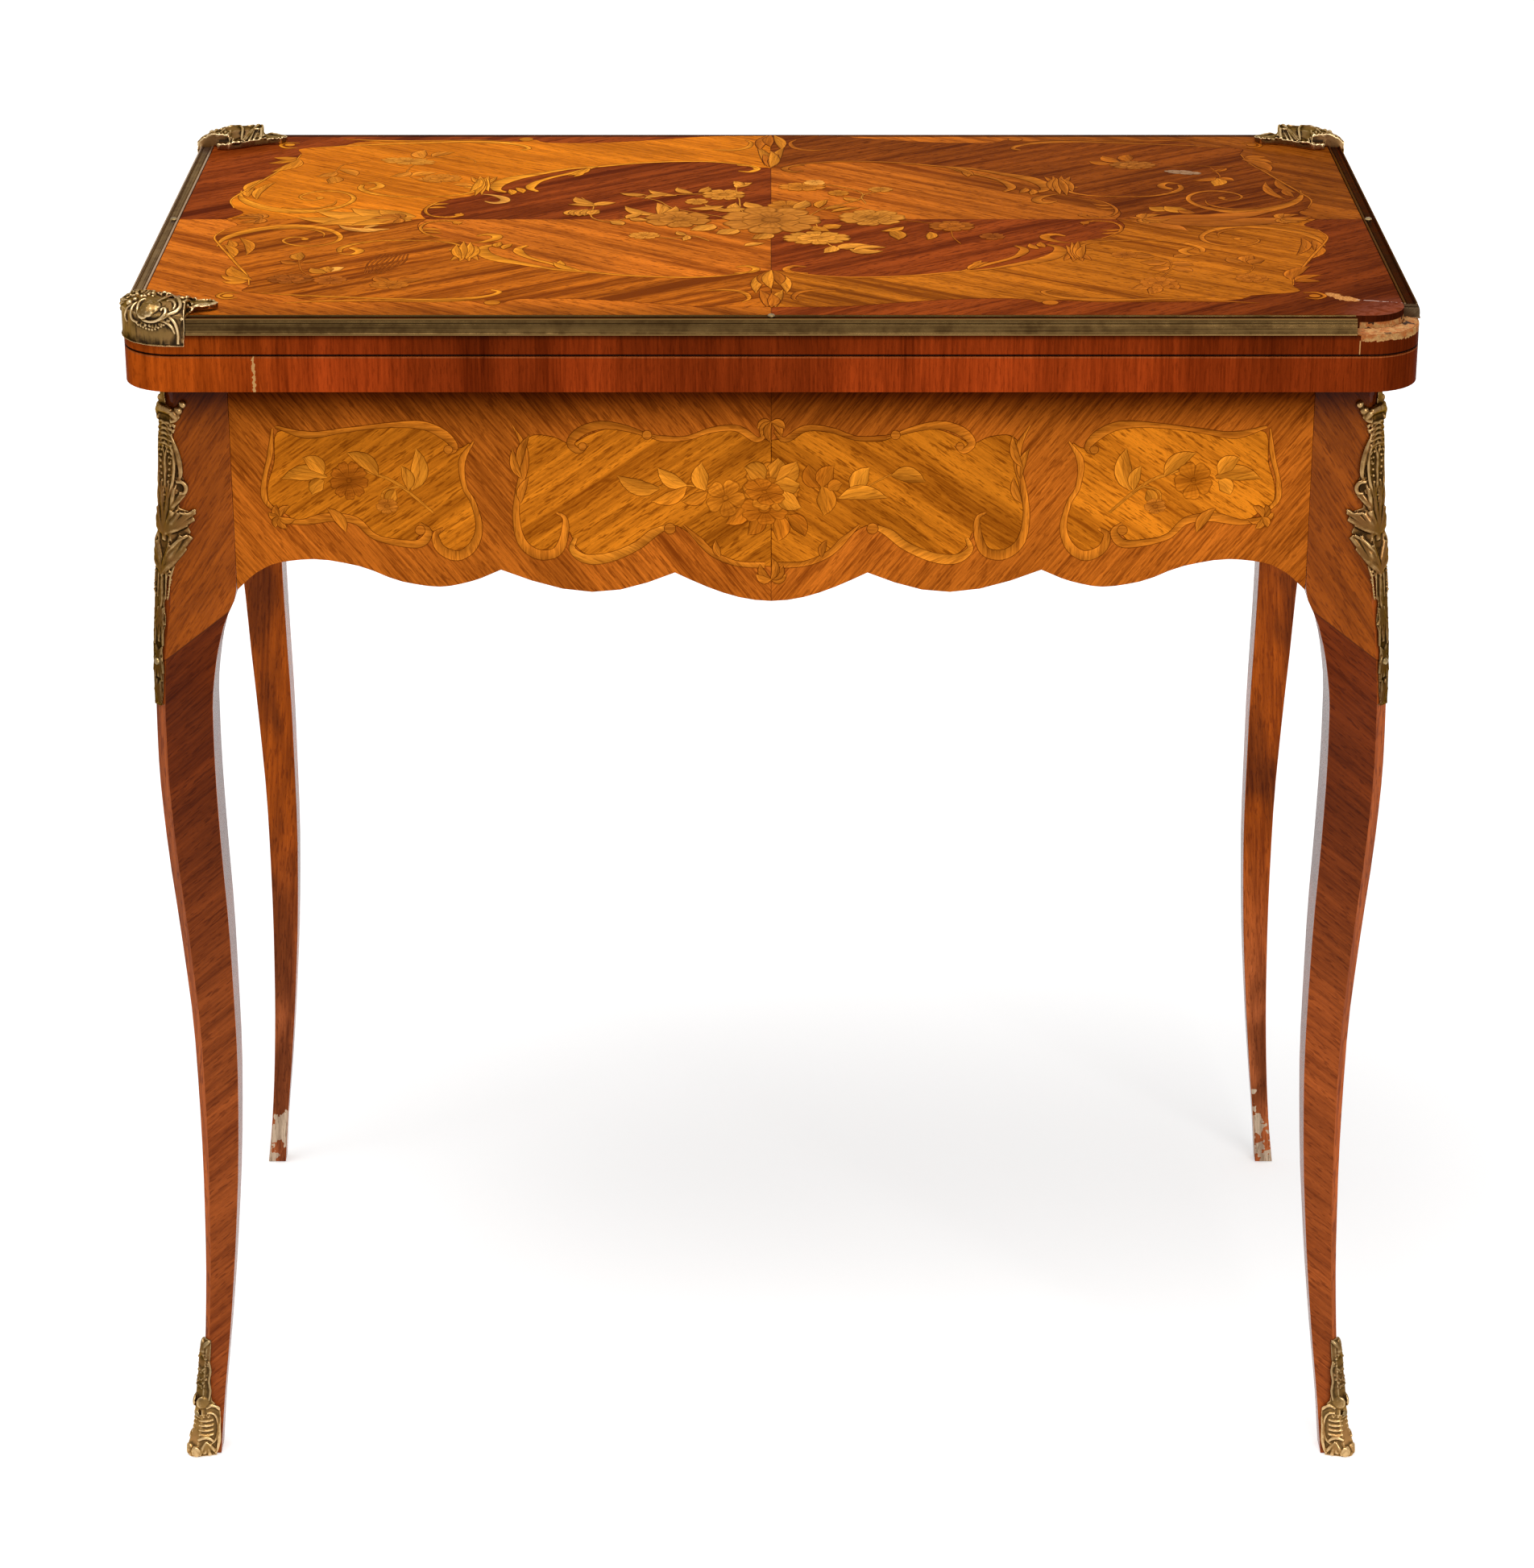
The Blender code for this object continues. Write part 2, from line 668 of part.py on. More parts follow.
def groove_mesh():
    """The quarter-turn groove that the stop peg runs in."""
    half_width = PEG_RADIUS + GAP
    end_turn = half_width / PEG_ORBIT
    start = peg_angle(0) + end_turn
    finish = peg_angle(SWIVEL_DEGREES) - end_turn
    stations = []
    for step in range(GROOVE_STEPS + 1):
        angle = start + (finish - start) * step / GROOVE_STEPS
        outward = Vector((math.cos(angle), math.sin(angle), 0))
        stations.append((PIVOT_PLACE + outward * PEG_ORBIT, outward))
    floor = -(PEG_REACH + GAP)
    return sweep(
        stations,
        ((-half_width, floor), (half_width, floor), (half_width, OVERRUN), (-half_width, OVERRUN)),
    )


def pivot_rail_mesh():
    radius = BOLT_RADIUS + GAP
    hole = turned(((-RAIL_THICKNESS - OVERRUN, radius), (OVERRUN, radius)), PIVOT_PLACE, UP)
    return cut(rail_block(0), hole, groove_mesh())


def well_divider_mesh():
    half = DIVIDER_THICKNESS / 2
    reach = APRON_INNER_Y - GAP
    bottom = WELL_FLOOR_BOTTOM - GAP - BATTEN_HEIGHT
    return block((DIVIDER_X - half, -reach, bottom), (DIVIDER_X + half, reach, FRAME_TOP))


def well_left():
    return DIVIDER_X + DIVIDER_THICKNESS / 2 + GAP


def well_floor_mesh():
    """The floor fills the well and is notched round the two right-hand posts."""
    right = APRON_INNER_X - GAP
    reach = APRON_INNER_Y - GAP
    notch_x = POST_INNER_X - GAP
    notch_y = POST_INNER_Y - GAP
    outline = (
        (well_left(), -reach), (notch_x, -reach), (notch_x, -notch_y), (right, -notch_y),
        (right, notch_y), (notch_x, notch_y), (notch_x, reach), (well_left(), reach),
    )
    return extrude(outline, WELL_FLOOR_BOTTOM, WELL_FLOOR_TOP, upright)


def batten_levels():
    top = WELL_FLOOR_BOTTOM - GAP
    return top - BATTEN_HEIGHT, top


def long_batten_mesh(end):
    low, high = batten_levels()
    outer = APRON_INNER_Y - GAP
    ys = sorted((end * outer, end * (outer - BATTEN_WIDTH)))
    return block((well_left(), ys[0], low), (POST_INNER_X - GAP, ys[1], high))


def divider_batten_mesh():
    low, high = batten_levels()
    reach = APRON_INNER_Y - BATTEN_WIDTH - 2 * GAP
    return block((well_left(), -reach, low), (well_left() + BATTEN_WIDTH, reach, high))


def right_batten_mesh():
    """The right batten runs between the posts, and stays between the long battens."""
    low, high = batten_levels()
    right = APRON_INNER_X - GAP
    reach = min(POST_INNER_Y - GAP, APRON_INNER_Y - BATTEN_WIDTH - 2 * GAP)
    return block((right - BATTEN_WIDTH, -reach, low), (right, reach, high))


# Pivot

def pivot_plate_mesh():
    half = PIVOT_PLATE_SIZE / 2
    x, y, low = PIVOT_PLACE.x, PIVOT_PLACE.y, LOWER_LEAF_BOTTOM
    plate = block((x - half, y - half, low), (x + half, y + half, low + PIVOT_PLATE_THICKNESS))
    radius = BOLT_RADIUS + GAP
    hole_profile = ((-OVERRUN, radius), (PIVOT_PLATE_THICKNESS + OVERRUN, radius))
    hole = turned(hole_profile, (x, y, low), UP)
    return cut(plate, hole, *[screw_mesh(place, DOWN, GAP) for place in pivot_screw_places()])


def pivot_screw_places():
    half = PIVOT_SCREW_SPREAD / 2
    return [
        Vector((PIVOT_PLACE.x + side * half, PIVOT_PLACE.y + end * half, LOWER_LEAF_BOTTOM))
        for side in (LEFT, RIGHT) for end in (FRONT, BACK)
    ]


def pivot_bolt_low():
    return FRAME_TOP - RAIL_THICKNESS - WASHER_THICKNESS - NUT_HEIGHT - 2 * GAP - BOLT_END


def pivot_bolt_mesh():
    """The bolt hangs by its head above the pivot plate."""
    seat = LOWER_LEAF_BOTTOM + PIVOT_PLATE_THICKNESS + GAP
    profile = (
        (pivot_bolt_low(), BOLT_RADIUS * BOLT_TIP_SHARE), (pivot_bolt_low() + GAP, BOLT_RADIUS),
        (seat, BOLT_RADIUS), (seat, BOLT_HEAD_RADIUS), (seat + BOLT_HEAD_HEIGHT, BOLT_HEAD_RADIUS),
    )
    return turned(profile, (PIVOT_PLACE.x, PIVOT_PLACE.y, 0), UP)


def ring_mesh(radius, low, thickness, sides):
    centre = (PIVOT_PLACE.x, PIVOT_PLACE.y, low)
    hole = ((-OVERRUN, BOLT_RADIUS + GAP), (thickness + OVERRUN, BOLT_RADIUS + GAP))
    ring = turned(((0, radius), (thickness, radius)), centre, UP, sides)
    return cut(ring, turned(hole, centre, UP))


def pivot_washer_mesh():
    low = FRAME_TOP - RAIL_THICKNESS - GAP - WASHER_THICKNESS
    return ring_mesh(WASHER_RADIUS, low, WASHER_THICKNESS, ROUND_SIDES)


def pivot_nut_mesh():
    low = FRAME_TOP - RAIL_THICKNESS - 2 * GAP - WASHER_THICKNESS - NUT_HEIGHT
    return ring_mesh(NUT_RADIUS, low, NUT_HEIGHT, NUT_SIDES)


def peg_mesh(clearance=0.0):
    angle = peg_angle(0)
    centre = PIVOT_PLACE + Vector((math.cos(angle), math.sin(angle), 0)) * PEG_ORBIT
    socket = LOWER_LEAF_BOTTOM - FRAME_TOP + PEG_SOCKET + clearance
    radius = PEG_RADIUS + clearance
    return turned(((-PEG_REACH, radius), (socket, radius)), centre, UP, SMALL_ROUND_SIDES)


# Screws

def screw_mesh(place, outward, clearance=0.0):
    """A countersunk screw whose flat head is level with the place, or its hole when given a clearance."""
    head = SCREW_HEAD_RADIUS + clearance
    shank = SCREW_SHANK_RADIUS + clearance
    cone = SCREW_HEAD_RADIUS - SCREW_SHANK_RADIUS
    profile = [(-SCREW_LENGTH - clearance, shank), (-cone - clearance, shank), (-clearance, head)]
    if clearance:
        profile.append((OVERRUN, head))
    else:
        profile[-1] = (0, head)
    return turned(profile, place, outward, SMALL_ROUND_SIDES)


# Hinges

def hinge_cylinder(hinge_x, start_share, end_share, radius, extra):
    """A cylinder on the fold axis over part of a hinge's length."""
    hinge_start = hinge_x - HINGE_LENGTH / 2
    start = hinge_start + start_share * HINGE_LENGTH - extra
    end = hinge_start + end_share * HINGE_LENGTH + extra
    return turned(((start, radius), (end, radius)), (0, FOLD_PLACE.y, FOLD_PLACE.z), (1, 0, 0))


def hinge_knuckles(hinge_x, upper, radius, extra):
    """The knuckles of one hinge half: the middle one belongs to the upper half."""
    return [
        hinge_cylinder(hinge_x, i / KNUCKLE_COUNT, (i + 1) / KNUCKLE_COUNT, radius, extra)
        for i in range(KNUCKLE_COUNT) if (i % 2 == 1) == upper
    ]


def hinge_plate_block(hinge_x, upper, clearance):
    """The plate of a hinge half, or its recess when given a clearance."""
    half = HINGE_LENGTH / 2 + clearance
    face = UPPER_LEAF_BOTTOM if upper else LOWER_LEAF_TOP
    inward = 1 if upper else -1
    overrun = OVERRUN if clearance else 0
    depth = HINGE_PLATE_THICKNESS + clearance
    levels = sorted((face - inward * overrun, face + inward * depth))
    front = TOP_HALF_DEPTH - HINGE_PLATE_WIDTH - clearance
    back = FOLD_PLACE.y + overrun
    return block((hinge_x - half, front, levels[0]), (hinge_x + half, back, levels[1]))


def hinge_screw_places(hinge_x, upper):
    y = TOP_HALF_DEPTH - (HINGE_PLATE_WIDTH + KNUCKLE_RADIUS) / 2
    z = UPPER_LEAF_BOTTOM if upper else LOWER_LEAF_TOP
    return [Vector((hinge_x + side * HINGE_SCREW_SPREAD / 2, y, z)) for side in (LEFT, RIGHT)]


def face_direction(upper):
    """The way that a leaf's playing surface looks when the table is closed."""
    return DOWN if upper else UP


def hinge_screw_holes(hinge_x, upper):
    outward = face_direction(upper)
    return [screw_mesh(place, outward, GAP) for place in hinge_screw_places(hinge_x, upper)]


def hinge_half_mesh(hinge_x, upper):
    plate = hinge_plate_block(hinge_x, upper, 0)
    plate = cut(plate, *hinge_knuckles(hinge_x, not upper, KNUCKLE_RADIUS + GAP, GAP))
    plate = fuse(plate, *hinge_knuckles(hinge_x, upper, KNUCKLE_RADIUS, -GAP / 2))
    plate = cut(plate, hinge_cylinder(hinge_x, 0, 1, HINGE_PIN_RADIUS + GAP, OVERRUN))
    return cut(plate, *hinge_screw_holes(hinge_x, upper))


def hinge_xs():
    return {side: side * HINGE_SPREAD / 2 for side in (LEFT, RIGHT)}


def cut_for_hinges(leaf, upper):
    for hinge_x in hinge_xs().values():
        leaf = cut(
            leaf,
            hinge_plate_block(hinge_x, upper, GAP),
            hinge_cylinder(hinge_x, 0, 1, KNUCKLE_RADIUS + 2 * GAP, GAP),
            *hinge_screw_holes(hinge_x, upper),
        )
    return leaf


# Leaves and linings

def leaf_block(bottom):
    outline = rounded_rectangle(
        -TOP_HALF_WIDTH, TOP_HALF_WIDTH, -TOP_HALF_DEPTH, TOP_HALF_DEPTH, TOP_CORNER_RADIUS, CORNER_STEPS
    )
    return extrude(outline, bottom, bottom + LEAF_THICKNESS, upright)


def lining_outline(clearance):
    half_width = TOP_HALF_WIDTH - BAIZE_BORDER + clearance
    front = -TOP_HALF_DEPTH + BAIZE_BORDER - clearance
    back = TOP_HALF_DEPTH - BAIZE_HINGE_BORDER + clearance
    return rounded_rectangle(-half_width, half_width, front, back, BAIZE_CORNER_RADIUS, BAIZE_CORNER_STEPS)


def lower_leaf_mesh():
    recess = extrude(
        lining_outline(GAP), LOWER_LEAF_TOP - BAIZE_THICKNESS - GAP, LOWER_LEAF_TOP + OVERRUN, upright
    )
    leaf = cut_for_hinges(cut(leaf_block(LOWER_LEAF_BOTTOM), recess), False)
    half = PIVOT_PLATE_SIZE / 2 + GAP
    x, y, low = PIVOT_PLACE.x, PIVOT_PLACE.y, LOWER_LEAF_BOTTOM
    plate_top = low + PIVOT_PLATE_THICKNESS + GAP
    head_radius = BOLT_HEAD_RADIUS + GAP
    head_levels = (plate_top - OVERRUN, plate_top + BOLT_HEAD_HEIGHT + GAP)
    return cut(
        leaf,
        block((x - half, y - half, low - OVERRUN), (x + half, y + half, plate_top)),
        turned([(level, head_radius) for level in head_levels], (x, y, 0), UP),
        peg_mesh(GAP),
        *[screw_mesh(place, DOWN, GAP) for place in pivot_screw_places()],
    )


def baize_lower_mesh():
    return extrude(lining_outline(0), LOWER_LEAF_TOP - BAIZE_THICKNESS, LOWER_LEAF_TOP, upright)


def baize_upper_mesh():
    return extrude(lining_outline(0), UPPER_LEAF_BOTTOM, UPPER_LEAF_BOTTOM + BAIZE_THICKNESS, upright)


def rebate_mesh():
    """The rebate for the bronze runs round three sides and stops part of the way round the back corners."""
    inner = -(STRIP_WIDTH + GAP)
    stations = (
        corner_arc(LEFT, BACK, BACK_CORNER_SHARE, 0) + corner_arc(LEFT, FRONT, 0, 1)
        + corner_arc(RIGHT, FRONT, 1, 0) + corner_arc(RIGHT, BACK, 0, BACK_CORNER_SHARE)
    )
    top = TOP_HEIGHT + OVERRUN
    return sweep(stations, ((inner, REBATE_FLOOR), (OVERRUN, REBATE_FLOOR), (OVERRUN, top), (inner, top)))


def upper_leaf_mesh():
    recess = extrude(
        lining_outline(GAP), UPPER_LEAF_BOTTOM - OVERRUN, UPPER_LEAF_BOTTOM + BAIZE_THICKNESS + GAP, upright
    )
    leaf = cut_for_hinges(cut(leaf_block(UPPER_LEAF_BOTTOM), recess, rebate_mesh()), True)
    return cut(leaf, *[strip_screw_mesh(place, GAP) for place in strip_screw_places().values()])


# Bronze edge strips

def strip_section():
    width = STRIP_WIDTH + STRIP_PROUD
    height = STRIP_HEIGHT - GAP
    return [
        (across * width - STRIP_WIDTH, REBATE_FLOOR + GAP + rise * height)
        for across, rise in STRIP_PROFILE_SHARES
    ]


def strip_stations(name):
    """Ends of a strip, with the direction that its outer face looks."""
    reach_x = TOP_HALF_WIDTH - MOUNT_FRONT_SPAN
    reach_y = TOP_HALF_DEPTH - MOUNT_SIDE_SPAN
    if name == "front":
        outward = Vector((0, FRONT, 0))
        ends = [(side * reach_x, FRONT * TOP_HALF_DEPTH) for side in (LEFT, RIGHT)]
    else:
        side = LEFT if name == "left" else RIGHT
        outward = Vector((side, 0, 0))
        ends = [(side * TOP_HALF_WIDTH, end * reach_y) for end in (FRONT, BACK)]
    return [(Vector((x, y, 0)), outward) for x, y in ends]


def strip_screw_places():
    return {
        "front": Vector((0, FRONT * (TOP_HALF_DEPTH - STRIP_SCREW_INSET), 0)),
        "left": Vector((LEFT * (TOP_HALF_WIDTH - STRIP_SCREW_INSET), 0, 0)),
        "right": Vector((RIGHT * (TOP_HALF_WIDTH - STRIP_SCREW_INSET), 0, 0)),
    }


def strip_screw_mesh(place, clearance=0.0):
    """A round-headed screw down through a strip into the leaf, or its hole when given a clearance."""
    seat = REBATE_FLOOR + STRIP_HEIGHT + GAP
    low = seat - STRIP_SCREW_LENGTH - clearance
    shank = STRIP_SCREW_SHANK_RADIUS + clearance
    profile = [(low, shank), (seat, shank)]
    if not clearance:
        profile += dome(seat, STRIP_SCREW_HEAD_HEIGHT, STRIP_SCREW_HEAD_RADIUS)
    return turned(profile, place, UP, SMALL_ROUND_SIDES)


def strip_mesh(name):
    strip = sweep(strip_stations(name), strip_section())
    return cut(strip, strip_screw_mesh(strip_screw_places()[name], GAP))


# Bronze corner mounts

def mount_section():
    skirt_low = TOP_HEIGHT - MOUNT_SKIRT
    crown = [
        (MOUNT_PROUD - across * (MOUNT_PROUD + MOUNT_REACH), TOP_HEIGHT + rise * MOUNT_RISE)
        for across, rise in MOUNT_CROWN_SHARES
    ]
    return [(GAP, skirt_low), (MOUNT_PROUD, skirt_low)] + crown + [
        (-MOUNT_REACH, TOP_HEIGHT + GAP),
        (-STRIP_WIDTH, TOP_HEIGHT + GAP),
        (-STRIP_WIDTH, REBATE_FLOOR + GAP),
        (GAP, REBATE_FLOOR + GAP),
    ]


def mount_mesh(side, end):
    """A corner mount: a capped skirt round the corner, fused to a leafy plate on the top."""
    gap_share = GAP / (TOP_CORNER_RADIUS * math.pi / 2)
    last_share = 1 if end == FRONT else BACK_CORNER_SHARE - gap_share
    start = Vector((side * TOP_HALF_WIDTH, end * (TOP_HALF_DEPTH - MOUNT_SIDE_SPAN + GAP), 0))
    stations = [(start, Vector((side, 0, 0)))] + corner_arc(side, end, 0, last_share)
    if end == FRONT:
        finish = Vector((side * (TOP_HALF_WIDTH - MOUNT_FRONT_SPAN + GAP), end * TOP_HALF_DEPTH, 0))
        stations.append((finish, Vector((0, end, 0))))
    outline = [
        (side * (TOP_HALF_WIDTH - across * MOUNT_LENGTH), end * (TOP_HALF_DEPTH - along * MOUNT_LENGTH))
        for across, along in MOUNT_LEAF_SHARES
    ]
    low = TOP_HEIGHT + GAP
    leaf = extrude(outline, low, low + MOUNT_LEAF_THICKNESS, upright)
    return fuse(sweep(stations, mount_section()), leaf)


# The whole table

def make_materials():
    return {
        "veneer": make_material("veneer", (0.36, 0.13, 0.035), 0.25),
        "red_veneer": make_material("red_veneer", (0.23, 0.05, 0.015), 0.25),
        "carcass": make_material("carcass", (0.35, 0.20, 0.09), 0.60),
        "bronze": make_material("bronze", (0.20, 0.15, 0.06), 0.40, 1.0),
        "brass": make_material("brass", (0.55, 0.40, 0.15), 0.35, 1.0),
        "steel": make_material("steel", (0.35, 0.34, 0.32), 0.45, 1.0),
        "baize": make_material("baize", (0.03, 0.14, 0.06), 0.95),
    }


def add_stand(materials):
    for end in (FRONT, BACK):
        for side in (LEFT, RIGHT):
            add_piece(f"leg_{END_NAMES[end]}_{SIDE_NAMES[side]}", leg_mesh(side, end), materials["veneer"])
        add_piece(f"apron_{END_NAMES[end]}", long_apron_mesh(end), materials["veneer"])
        add_piece(f"batten_{END_NAMES[end]}", long_batten_mesh(end), materials["carcass"])
    for side in (LEFT, RIGHT):
        name = SIDE_NAMES[side]
        add_piece(f"apron_{name}", short_apron_mesh(side), materials["veneer"])
        add_piece(f"chute_{name}", chute_mesh(side), materials["bronze"])
        add_piece(f"chute_pin_{name}", chute_pin(side), materials["bronze"])
        add_piece(f"sabot_{name}", sabot_mesh(side), materials["bronze"])
        add_piece(f"sabot_pin_{name}", sabot_pin(side), materials["bronze"])
    add_piece("pivot_rail", pivot_rail_mesh(), materials["carcass"])
    add_piece("well_divider", well_divider_mesh(), materials["carcass"])
    add_piece("well_floor", well_floor_mesh(), materials["carcass"])
    add_piece("batten_divider", divider_batten_mesh(), materials["carcass"])
    add_piece("batten_right", right_batten_mesh(), materials["carcass"])


def add_lower_leaf(materials, swivel):
    def add(name, mesh, material):
        add_piece(name, mesh, materials[material], swivel, PIVOT_PLACE)

    add("lower_leaf", lower_leaf_mesh(), "red_veneer")
    add("baize_lower", baize_lower_mesh(), "baize")
    add("pivot_plate", pivot_plate_mesh(), "steel")
    add("pivot_bolt", pivot_bolt_mesh(), "steel")
    add("pivot_washer", pivot_washer_mesh(), "steel")
    add("pivot_nut", pivot_nut_mesh(), "steel")
    add("stop_peg", peg_mesh(), "carcass")
    for number, place in enumerate(pivot_screw_places(), start=1):
        add(f"pivot_screw_{number}", screw_mesh(place, DOWN), "steel")
    for side, hinge_x in hinge_xs().items():
        name = SIDE_NAMES[side]
        pin = hinge_cylinder(hinge_x, 0, 1, HINGE_PIN_RADIUS, 0)
        add(f"hinge_lower_{name}", hinge_half_mesh(hinge_x, False), "brass")
        add(f"hinge_pin_{name}", pin, "brass")
        for number, place in enumerate(hinge_screw_places(hinge_x, False), start=1):
            add(f"hinge_lower_{name}_screw_{number}", screw_mesh(place, face_direction(False)), "brass")


def add_upper_leaf(materials, fold):
    def add(name, mesh, material):
        add_piece(name, mesh, materials[material], fold, FOLD_PLACE)

    add("upper_leaf", upper_leaf_mesh(), "veneer")
    add("baize_upper", baize_upper_mesh(), "baize")
    for name, place in strip_screw_places().items():
        add(f"strip_{name}", strip_mesh(name), "bronze")
        add(f"strip_screw_{name}", strip_screw_mesh(place), "bronze")
    add("mount_front_left", mount_mesh(LEFT, FRONT), "bronze")
    add("mount_rear_left", mount_mesh(LEFT, BACK), "bronze")
    add("mount_rear_right", mount_mesh(RIGHT, BACK), "bronze")
    for side, hinge_x in hinge_xs().items():
        name = SIDE_NAMES[side]
        add(f"hinge_upper_{name}", hinge_half_mesh(hinge_x, True), "brass")
        for number, place in enumerate(hinge_screw_places(hinge_x, True), start=1):
            add(f"hinge_upper_{name}_screw_{number}", screw_mesh(place, face_direction(True)), "brass")


def main():
    clear_scene()
    materials = make_materials()
    swivel = add_empty("swivel_axis", PIVOT_PLACE)
    fold = add_empty("fold_axis", FOLD_PLACE, swivel, PIVOT_PLACE)
    add_stand(materials)
    add_lower_leaf(materials, swivel)
    add_upper_leaf(materials, fold)


main()
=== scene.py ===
"""Looks of the games table: marquetry, polished veneer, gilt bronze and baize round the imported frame."""

import math
import random

import bmesh
import bpy
import numpy as np
from mathutils import Matrix, Vector
from mathutils.bvhtree import BVHTree
from mathutils.geometry import tessellate_polygon


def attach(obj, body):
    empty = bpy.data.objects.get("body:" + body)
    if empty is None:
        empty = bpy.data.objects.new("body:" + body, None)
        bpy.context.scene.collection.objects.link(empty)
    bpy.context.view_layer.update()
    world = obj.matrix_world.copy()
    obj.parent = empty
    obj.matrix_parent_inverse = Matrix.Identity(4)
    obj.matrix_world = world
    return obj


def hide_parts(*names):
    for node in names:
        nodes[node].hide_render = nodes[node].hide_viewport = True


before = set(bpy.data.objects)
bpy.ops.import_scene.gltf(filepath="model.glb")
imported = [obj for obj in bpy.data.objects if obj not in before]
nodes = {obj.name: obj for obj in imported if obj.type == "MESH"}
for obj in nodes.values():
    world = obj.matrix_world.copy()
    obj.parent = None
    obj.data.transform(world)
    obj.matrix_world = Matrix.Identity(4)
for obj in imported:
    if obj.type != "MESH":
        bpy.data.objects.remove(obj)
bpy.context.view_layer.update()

MM = 0.001
TOP_LEVEL = 0.758
TOP_HALF_WIDTH = 0.378
TOP_HALF_DEPTH = 0.220
TOP_MIDDLE_SEAM = 0.003
LEAF_SEAM = 0.7363
LOWER_LEAF_UNDERSIDE = 0.7165
UPPER_LEAF_MIDDLE = 0.750
FRAME_TOP = 0.7144
FRAME_FRONT = 0.199
FRAME_SIDE = 0.357


# Materials

class Value:
    """A socket of a material that sums, products and comparisons can be written with."""

    def __init__(self, builder, socket):
        self.builder = builder
        self.socket = socket

    def __add__(self, other):
        return self.builder.math("ADD", self, other)

    def __sub__(self, other):
        return self.builder.math("SUBTRACT", self, other)

    def __rsub__(self, other):
        return self.builder.math("SUBTRACT", other, self)

    def __mul__(self, other):
        return self.builder.math("MULTIPLY", self, other)

    def __neg__(self):
        return self * -1.0

    def __abs__(self):
        return self.builder.math("ABSOLUTE", self)

    def __gt__(self, other):
        return self.builder.math("GREATER_THAN", self, other)

    def __lt__(self, other):
        return self.builder.math("LESS_THAN", self, other)

    __radd__ = __add__
    __rmul__ = __mul__

    def sign(self):
        return self.builder.math("SIGN", self)

    def step(self, low, high, to_low=0.0, to_high=1.0):
        """A smooth step from one value to another between two levels."""
        inputs = {0: self, 1: low, 2: high, 3: to_low, 4: to_high}
        return self.builder.value("ShaderNodeMapRange", inputs, interpolation_type="SMOOTHSTEP")

    def between(self, low, high, soft=0.0005):
        """1 where the value lies between two levels, with soft edges."""
        return self.step(low - soft, low + soft) * self.step(high - soft, high + soft, 1.0, 0.0)


class Nodes:
    """A node tree whose nodes are added one by one."""

    def __init__(self, tree):
        self.tree = tree

    def put(self, socket, value):
        if isinstance(value, Value):
            self.tree.links.new(value.socket, socket)
        else:
            socket.default_value = value

    def node(self, kind, inputs=None, **settings):
        node = self.tree.nodes.new(kind)
        for key, value in settings.items():
            setattr(node, key, value)
        for key, value in (inputs or {}).items():
            self.put(node.inputs[key], value)
        return node

    def value(self, kind, inputs=None, output=0, **settings):
        """One output of a new node."""
        return Value(self, self.node(kind, inputs, **settings).outputs[output])

    def math(self, operation, first, second=0.0):
        return self.value("ShaderNodeMath", {0: first, 1: second}, operation=operation)

    def largest(self, first, *others):
        for other in others:
            first = self.math("MAXIMUM", first, other)
        return first

    def mix(self, share, first, second, blend="MIX"):
        """A colour between two others."""
        first, second = ((*tone, 1) if isinstance(tone, tuple) else tone for tone in (first, second))
        inputs = {0: share, 6: first, 7: second}
        return self.value("ShaderNodeMix", inputs, 2, data_type="RGBA", blend_type=blend)

    def mix_value(self, share, first, second):
        return self.value("ShaderNodeMix", {0: share, 2: first, 3: second})

    def tint(self, colour, other):
        """The product of two colours."""
        return self.mix(1.0, colour, other, "MULTIPLY")

    def times(self, colour, factor):
        """A colour multiplied by a number."""
        return self.tint(colour, self.value("ShaderNodeCombineColor", {0: factor, 1: factor, 2: factor}))

    def noise(self, vector, scales, detail=2.0, rough=0.5, twist=0.0):
        if isinstance(scales, float):
            scales = (scales, scales, scales)
        mapped = self.value("ShaderNodeVectorMath", {0: vector, 1: scales}, operation="MULTIPLY")
        inputs = {"Vector": mapped, "Scale": 1.0, "Detail": detail, "Roughness": rough, "Distortion": twist}
        return self.value("ShaderNodeTexNoise", inputs)


class Shader(Nodes):
    """A material with one shader."""

    def __init__(self, name, roughness=0.5, metallic=0.0, specular=0.5):
        self.material = bpy.data.materials.new(name)
        self.material.use_nodes = True
        super().__init__(self.material.node_tree)
        self.surface = self.tree.nodes["Principled BSDF"]
        self.set("Roughness", roughness)
        self.set("Metallic", metallic)
        self.set("Specular IOR Level", specular)

    def set(self, name, value):
        self.put(self.surface.inputs[name], value)

    def attribute(self, name, output):
        return self.value("ShaderNodeAttribute", None, output, attribute_name=name)

    def place(self):
        return self.value("ShaderNodeTexCoord", None, "Object")

    def normal(self):
        return self.value("ShaderNodeTexCoord", None, "Normal")

    def split(self, vector):
        return [Value(self, part) for part in self.node("ShaderNodeSeparateXYZ", {0: vector}).outputs]

    def join(self, x=0.0, y=0.0, z=0.0):
        return self.value("ShaderNodeCombineXYZ", {0: x, 1: y, 2: z})

    def turn(self, vector, angle):
        inputs = {"Vector": vector, "Angle": angle}
        return self.value("ShaderNodeVectorRotate", inputs, rotation_type="Z_AXIS")

    def bump(self, height, distance, strength):
        inputs = {"Height": height, "Distance": distance, "Strength": strength}
        self.set("Normal", self.value("ShaderNodeBump", inputs))

    def finish(self, colour, roughness=None):
        self.set("Base Color", colour)
        if roughness is not None:
            self.set("Roughness", roughness)
        return self.material


